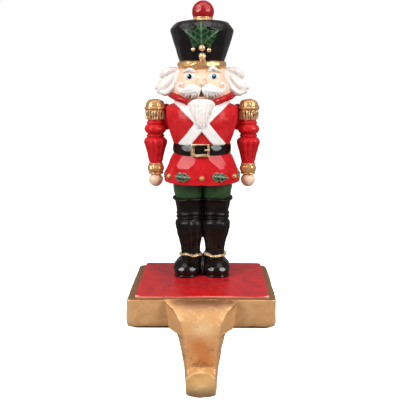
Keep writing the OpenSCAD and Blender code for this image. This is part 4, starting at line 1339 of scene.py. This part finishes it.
    def _moustache(self) -> None:
        """Two full lobes of strands with curled ends and a ragged lower edge."""
        form = Form()
        z = self.chin + self.height * 0.33
        y = -self.cheek * 0.88
        lobe = [(0.5, y - 0.6, z + 0.6, 1.2, 1.2), (2.2, y - 1.2, z + 1.1, 2.6, 2.0),
                (4.8, y - 1.2, z + 1.2, 3.5, 2.7), (7.8, y - 0.2, z + 0.5, 3.4, 2.8),
                (10.6, y + 1.8, z - 0.2, 2.7, 2.4), (13.2, y + 4.2, z - 0.3, 2.1, 2.0),
                (15.2, y + 6.2, z + 0.6, 1.6, 1.7), (16.0, y + 6.8, z + 2.5, 1.35, 1.5),
                (15.4, y + 6.0, z + 4.3, 1.2, 1.4), (14.0, y + 5.0, z + 4.9, 1.15, 1.3),
                (13.3, y + 4.8, z + 4.0, 0.9, 1.1)]
        tufts = [[(1.4, 1.6), (1.8, -1.2), (2.4, -3.6)], [(3.0, 1.2), (3.8, -1.9), (4.6, -4.6)],
                 [(4.8, 1.0), (5.9, -2.2), (7.0, -5.0)], [(6.6, 0.8), (8.0, -2.4), (9.4, -5.0)],
                 [(8.4, 0.6), (10.0, -2.2), (11.8, -4.4)], [(10.2, 0.4), (12.0, -1.8), (14.0, -3.4)],
                 [(12.0, 0.4), (13.8, -1.0), (15.8, -1.9)]]
        for s in (-1, 1):
            path = [(s * x - 0.4, b, c, w, d) for x, b, c, w, d in lobe]
            form.stack(along(spline(path, 5)), 56, fluted(9, [0.1], wander=0.1))
            for k, tuft in enumerate(tufts):
                keys = []
                for i, (x, dz) in enumerate(tuft):
                    w = (1.2, 1.05, 0.2)[i] * (1.0 - 0.03 * k)
                    out = self._on_face(x, z) - (3.0, 2.5, 0.9)[i] + 0.05 * x
                    keys.append((s * x - 0.4, out, z + dz + 0.3 * math.sin(3 * k + s), w, w * 0.9))
                form.stack(along(spline(keys, 5)), 20, fluted(5, [0.12]))
        form.refine(1).roughen(0.2, 1.5)
        form.piece("moustache", WHISKER_WHITE, Slot.WHITE, reach=0.5, offset=SOLDIER.stand)

    def _beard(self) -> None:
        """The bib of a beard, combed down in strands."""
        top = self.chin + 0.8
        y = 19.4
        keys = [(-19.4, 4.2, 3.6), (-18.6, 5.4, 4.8), (-15.0, 6.2, 5.3), (-11.2, 7.0, 5.1), (-7.8, 8.1, 4.7),
                (-4.4, 9.2, 4.2), (-2.4, 9.1, 4.0), (-0.9, 8.0, 3.4), (0.0, 6.4, 2.6), (0.7, 3.6, 1.4)]
        dense = spline(keys, 5)
        rings = [level(top + z, w, d, y, -0.3) for z, w, d in dense]
        depths = [0.05 + 0.06 * ease(len(dense), 0, k) for k in range(len(dense))]
        form = Form().stack(rings, 160, fluted(26, depths, 2.2, 0.12)).refine(1)

        def comb(p: Vector) -> Vector:
            p.x += 0.35 * math.sin(p.z * 0.55 + p.x * 0.8)
            if p.z < top - 16.5:
                p.z -= 0.8 * max(0.0, math.sin(p.x * 2.1 + 0.6)) * ease(top - 16.5, top - 19.0, p.z)
            return p
        form.shift(comb).roughen(0.2, 2)
        form.piece("beard", WHITE, Slot.WHITE, reach=0.3, offset=SOLDIER.stand)

    def _hair(self) -> None:
        """A bob round the head, and locks that flip out at both sides."""
        z, h, wide = self.chin, self.height, self.hair
        bob = [(0.06, 0.6, 0.34), (0.1, 0.82, 0.44), (0.2, 0.98, 0.52), (0.36, 1.02, 0.56),
               (0.6, 0.95, 0.57), (0.86, 0.86, 0.55), (1.0, 0.7, 0.5), (1.06, 0.5, 0.4)]
        dense = spline([(z + a * h, (wide - 5) * b, wide * c) for a, b, c in bob], 5)
        rings = [level(a, b, c, -4.0) for a, b, c in dense]
        form = Form().stack(rings, 192, fluted(38, [0.035], 1.9, 0.06)).refine(1)

        def sway(p: Vector) -> Vector:
            a = math.atan2(p.y - 4, p.x)
            p.x += 0.5 * math.sin(p.z * 0.4 + 2 * a) * (p.y > -4)
            p.z -= 0.9 * max(0.0, math.sin(9 * a)) * ease(z + 6, z, p.z)
            return p
        form.shift(sway)
        form.piece("hair_bob", HAIR_WHITE, Slot.WHITE, reach=0.35, offset=SOLDIER.stand)
        locks = [
            [(16.0, -3.0, z + h * 0.94, 2.2, 3.4), (20.0, -2.6, z + h * 0.95, 2.7, 3.8),
             (24.4, -1.4, z + h * 0.91, 3.1, 4.0), (27.4, 0.0, z + h * 0.84, 2.8, 3.4),
             (28.6, 0.6, z + h * 0.76, 1.9, 2.6), (27.2, 0.8, z + h * 0.71, 1.0, 1.6)],
            [(17.5, -4.5, z + h * 0.84, 2.4, 3.4), (21.0, -4.0, z + h * 0.7, 3.7, 4.6),
             (24.4, -3.2, z + h * 0.55, 4.5, 5.2), (27.6, -2.4, z + h * 0.42, 4.4, 5.0),
             (30.2, -1.8, z + h * 0.32, 3.2, 4.0), (31.4, -1.6, z + h * 0.31, 1.7, 2.4),
             (31.0, -1.6, z + h * 0.37, 0.8, 1.2)],
            [(19.5, -2.5, z + h * 0.78, 2.0, 3.0), (24.0, -1.8, z + h * 0.67, 2.9, 4.0),
             (28.0, -1.0, z + h * 0.54, 3.1, 4.2), (31.0, -0.4, z + h * 0.42, 2.6, 3.6),
             (32.8, 0.0, z + h * 0.4, 1.7, 2.6), (33.2, 0.2, z + h * 0.47, 0.8, 1.4)],
            [(18.6, -7.0, z + h * 0.62, 1.6, 2.6), (20.4, -7.2, z + h * 0.43, 2.5, 3.4),
             (23.2, -6.8, z + h * 0.3, 2.7, 3.6), (26.4, -6.2, z + h * 0.24, 2.3, 3.2),
             (28.9, -5.4, z + h * 0.26, 1.5, 2.2), (29.8, -5.0, z + h * 0.33, 0.7, 1.1)],
            [(19.4, 3.0, z + h * 0.92, 2.4, 3.6), (23.6, 4.0, z + h * 0.68, 3.8, 5.2),
             (27.0, 4.6, z + h * 0.5, 4.0, 5.2), (29.6, 4.6, z + h * 0.42, 3.0, 4.2),
             (31.0, 4.4, z + h * 0.5, 1.4, 2.2)]]
        for side in Side:
            form = Form()
            for path in locks:
                turned = [(side.value * x, y + 2.0, *rest) for x, y, *rest in path]
                dense = spline(turned, 6)
                form.stack(along(dense), 64, fluted(7, [0.07], 2.0, 0.2))
            form.refine(1).roughen(0.25, 2.5)
            form.piece(f"hair_locks_{side.name.lower()}", HAIR_WHITE, Slot.WHITE, reach=0.35,
                       offset=SOLDIER.stand)


@dataclass
class Hat:
    """The black hat with its gold band, ferrule, red bobble and holly."""

    band: float = 150.5
    foot: float = 156.1
    top: float = 183.5
    rim: float = 176.5
    band_r: float = 17.7
    hat_r: float = 22.4
    bobble: float = 7.8
    lean: float = 0.7

    def build(self) -> None:
        """Builds the hat from the band up."""
        self._crown()
        self._band()
        self._bobble()
        self._holly()

    def _crown(self) -> None:
        """The flared crown, whittled to ten upright faces with a bevelled top."""
        r, b = self.hat_r, self.band_r * 0.9
        top = self.top + 0.6
        keys = [(self.foot - 1.2, b - 2), (self.foot - 0.2, b), (self.foot + 5, b + 1.7),
                (self.foot + 10, b + 3.4), (self.foot + 15, b + 5.1), (self.rim - 1.5, r - 0.4),
                (self.rim, r), (self.rim + 1.7, r - 0.2), (self.rim + 3.6, r - 1.1), (self.rim + 5.4, r - 3.0),
                (self.rim + 6.8, r - 5.8), (top - 0.1, r - 9.4), (top, r - 13), (top, 1.0)]
        rings = [level(z, a, a) for z, a in spline(keys, 3)]
        form = Form().stack(rings, 160, faceted(10, 0.5)).refine(1)
        for azimuth, elevation, depth in ((-31, 32, 0.8), (34, 32, 0.7), (4, 44, 0.5), (-76, 40, 0.7),
                                          (84, 40, 0.7), (122, 40, 0.8), (-118, 40, 0.8), (160, 40, 0.7),
                                          (-158, 40, 0.7), (-20, -14, 0.5), (24, -14, 0.5), (-60, -14, 0.5),
                                          (66, -14, 0.5)):
            form.whittle(azimuth, elevation, depth)
        form.roughen(0.3, 7).roughen(0.04, 2)
        form.piece("hat", HAT_BLACK, Slot.BLACK, reach=0.26, rounds=7, offset=SOLDIER.stand)

    def _band(self) -> None:
        """The gold band between face and hat."""
        keys = [(self.band - 0.9, 0.72), (self.band - 0.6, 0.9), (self.band + 0.2, 0.965), (self.band + 1.2, 0.99),
                (self.band + 2.6, 1.01), (self.band + 3.8, 0.995), (self.band + 4.7, 0.97),
                (self.band + 5.6, 0.9), (self.band + 5.9, 0.8)]
        rings = [level(z, k * self.band_r, k * self.band_r) for z, k in spline(keys, 3)]
        form = Form().stack(rings, 128, faceted(12, 0.45)).refine(1)
        for azimuth, elevation, depth in ((-34, 16, 0.35), (24, 14, 0.35), (-10, -12, 0.3), (58, 8, 0.35),
                                          (-70, -6, 0.35), (100, 8, 0.3), (-130, 8, 0.3), (160, 8, 0.3)):
            form.whittle(azimuth, elevation, depth)
        form.roughen(0.35, 3.5)
        form.piece("hat_band", GILT, Slot.GOLD, reach=0.22, offset=SOLDIER.stand)

    def _bobble(self) -> None:
        """The whittled red bobble on its gold ferrule."""
        z, r = self.top, self.bobble
        keys = [(z - 0.8, r * 0.9), (z + 0.2, r * 1.0), (z + 0.9, r * 0.98), (z + 1.4, r * 0.89),
                (z + 1.9, r * 0.85), (z + 2.4, r * 0.89), (z + 3.0, r * 0.88), (z + 3.5, r * 0.74),
                (z + 3.7, r * 0.5)]
        rings = [level(a, b, b, across=self.lean) for a, b in spline(keys, 3)]
        form = Form().stack(rings, 80, faceted(14, 0.6)).refine(1).roughen(0.25, 2.5)
        form.piece("ferrule", PALE_GILT, Slot.GOLD, reach=0.2, offset=SOLDIER.stand)
        ball = Form().ball((0, 0, 0), (r, r, r), 6).whittle_round(30, 0.2, 5)
        for azimuth, elevation, depth in ((-28, 17, 0.42), (26, 18, 0.25)):
            ball.whittle(azimuth, elevation, depth)
        ball.place(Matrix.Translation((self.lean, 0, z + 0.5 + r * 0.78)))
        ball.roughen(0.05, 3)
        ball.piece("bobble", BOBBLE_RED, Slot.RED, reach=0.3, rounds=10, offset=SOLDIER.stand)

    def skin(self, x: float, z: float) -> float:
        """Returns Y of the hat's front at x and z."""
        t = min(1.0, max(0.0, (z - self.foot) / (self.rim - self.foot)))
        r = self.band_r * 0.9 + (self.hat_r - self.band_r * 0.9) * t
        r -= 0.1 * max(0.0, z - self.rim) ** 2
        apothem = r * math.cos(math.pi / 10)
        wing = (apothem - abs(x) * math.sin(math.pi / 5)) / math.cos(math.pi / 5)
        return -min(apothem, wing) - 0.12

    def _holly(self) -> None:
        """Three leaves and the gold berries under them."""
        z0 = self.foot + 11.0
        leaves = Form()
        for angle, length, wide, lift in ((38, 15.0, 10.4, 0.0), (142, 15.0, 10.4, 0.0), (91, 15.0, 11.0, 0.6)):
            turn = Matrix.Rotation(math.radians(-angle), 4, "Y")
            matrix = Matrix.Translation((-0.3, 0, z0)) @ turn

            def wrap(p: Vector, lift: float = lift) -> Vector:
                return Vector((p.x, self.skin(p.x, p.z) + p.y - lift, p.z))
            Holly(length=length, width=wide, thick=0.5).add_to(leaves, matrix, wrap)
        leaves.piece("hat_leaves", LEAF, Slot.GREEN, reach=0.3, rounds=4, offset=SOLDIER.stand)
        beads = Form()
        for x, z, r in ((0.1, z0 - 2.4, 2.3), (-6.0, z0 - 3.3, 1.4), (4.9, z0 - 3.8, 1.6),
                        (0.2, self.foot + 3.0, 2.6), (-0.5, self.foot + 0.2, 1.1), (1.7, self.foot + 0.2, 1.1)):
            bead = Form().ball((0, 0, 0), (r, r, r), 4).whittle_round(16, r * 0.1, int(10 * r))
            bead.place(Matrix.Translation((x, self.skin(x, z) - 0.45 * r, z)))
            beads.take(bead)
        beads.piece("hat_beads", PALE_GILT, Slot.GOLD, reach=0.16, rounds=4, offset=SOLDIER.stand)


@dataclass
class Softbox:
    """One soft studio light that looks at the object."""

    title: str
    azimuth: float
    elevation: float
    away: float
    width: float
    height: float
    power: float
    mirrored: bool = True
    centre: tuple[float, float, float] = (0.0, 0.0, 0.11)

    def set_up(self) -> None:
        """Puts the light in place."""
        a, e = math.radians(self.azimuth), math.radians(self.elevation)
        back = Vector((math.sin(a) * math.cos(e), -math.cos(a) * math.cos(e), math.sin(e)))
        lamp = bpy.data.lights.new(self.title, "AREA")
        lamp.shape, lamp.size, lamp.size_y, lamp.energy = "RECTANGLE", self.width, self.height, self.power
        holder = bpy.data.objects.new(self.title, lamp)
        holder.location = Vector(self.centre) + back * self.away
        holder.rotation_euler = back.to_track_quat("Z", "Y").to_euler()
        holder.visible_glossy = self.mirrored
        bpy.context.scene.collection.objects.link(holder)


@dataclass
class Studio:
    """Camera, lights, pale floor and background."""

    lens: float = 63.0
    eye: tuple[float, float, float] = (0.0030, -0.4920, 0.1728)
    pitch: float = 79.286
    yaw: float = 0.5
    floor_z: float = -0.16
    boxes: tuple[Softbox, ...] = field(default_factory=lambda: (
        Softbox("left_softbox", -56, 24, 0.8, 0.24, 0.44, 4.7),
        Softbox("right_softbox", 56, 24, 0.8, 0.24, 0.44, 4.7),
        Softbox("top_softbox", 4, 83, 0.9, 1.3, 0.5, 4.4),
        Softbox("front_fill", 0, -8, 0.9, 0.5, 0.4, 0.6, mirrored=False),
        Softbox("back_softbox", 180, 40, 0.9, 0.5, 0.5, 2.0, mirrored=False)))

    def build(self) -> None:
        """Sets the camera, lights, floor and world."""
        for box in self.boxes:
            box.set_up()
        camera = bpy.data.objects.new("camera", bpy.data.cameras.new("camera"))
        camera.data.lens, camera.data.sensor_width = self.lens, 36.0
        camera.data.clip_start = 0.01
        camera.location = self.eye
        camera.rotation_euler = (math.radians(self.pitch), 0.0, math.radians(self.yaw))
        bpy.context.scene.collection.objects.link(camera)
        bpy.context.scene.camera = camera
        bpy.context.scene.view_settings.view_transform = "Standard"
        self._floor()
        self._world()

    def _floor(self) -> None:
        """A wide pale floor, lit from under as a light table is, that doesn't tint the object."""
        w = Wiring("pale floor")
        shader = w.add("BsdfPrincipled", base_color=(0.94, 0.94, 0.94, 1.0), roughness=0.8,
                       emission_color=(1.0, 1.0, 1.0, 1.0), emission_strength=0.95)
        w.add("OutputMaterial", surface=shader.outputs[0])
        bm = bmesh.new()
        bmesh.ops.create_grid(bm, x_segments=1, y_segments=1, size=12.0)
        mesh = bpy.data.meshes.new("floor")
        bm.to_mesh(mesh)
        bm.free()
        mesh.materials.append(w.material)
        floor = bpy.data.objects.new("floor", mesh)
        floor.location.z = self.floor_z
        floor.visible_diffuse = floor.visible_glossy = False
        bpy.context.scene.collection.objects.link(floor)

    def _world(self) -> None:
        """A white backdrop that lights the object more dimly than it looks."""
        world = bpy.data.worlds.new("studio")
        world.use_nodes = True
        tree = world.node_tree
        tree.nodes.clear()
        seen, felt = (tree.nodes.new("ShaderNodeBackground") for _ in range(2))
        seen.inputs[0].default_value = felt.inputs[0].default_value = (1.0, 1.0, 1.0, 1.0)
        seen.inputs[1].default_value, felt.inputs[1].default_value = 1.0, 0.2
        ray = tree.nodes.new("ShaderNodeLightPath")
        mixed = tree.nodes.new("ShaderNodeMixShader")
        out = tree.nodes.new("ShaderNodeOutputWorld")
        tree.links.new(ray.outputs["Is Camera Ray"], mixed.inputs[0])
        tree.links.new(felt.outputs[0], mixed.inputs[1])
        tree.links.new(seen.outputs[0], mixed.inputs[2])
        tree.links.new(mixed.outputs[0], out.inputs[0])
        bpy.context.scene.world = world


def main() -> None:
    """Builds every part of the holder and its studio."""
    logging.basicConfig(level=logging.INFO, format="%(name)s %(message)s")
    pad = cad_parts[PAD]
    pad.data.materials.clear()
    pad.data.materials.append(PALETTE.of(FOAM))
    for part in (Block(), Legs(), Coat(), Arms(), Head(), Hat(), Studio()):
        part.build()
        LOG.info("%s done", type(part).__name__)


if __name__ == "__main__":
    main()
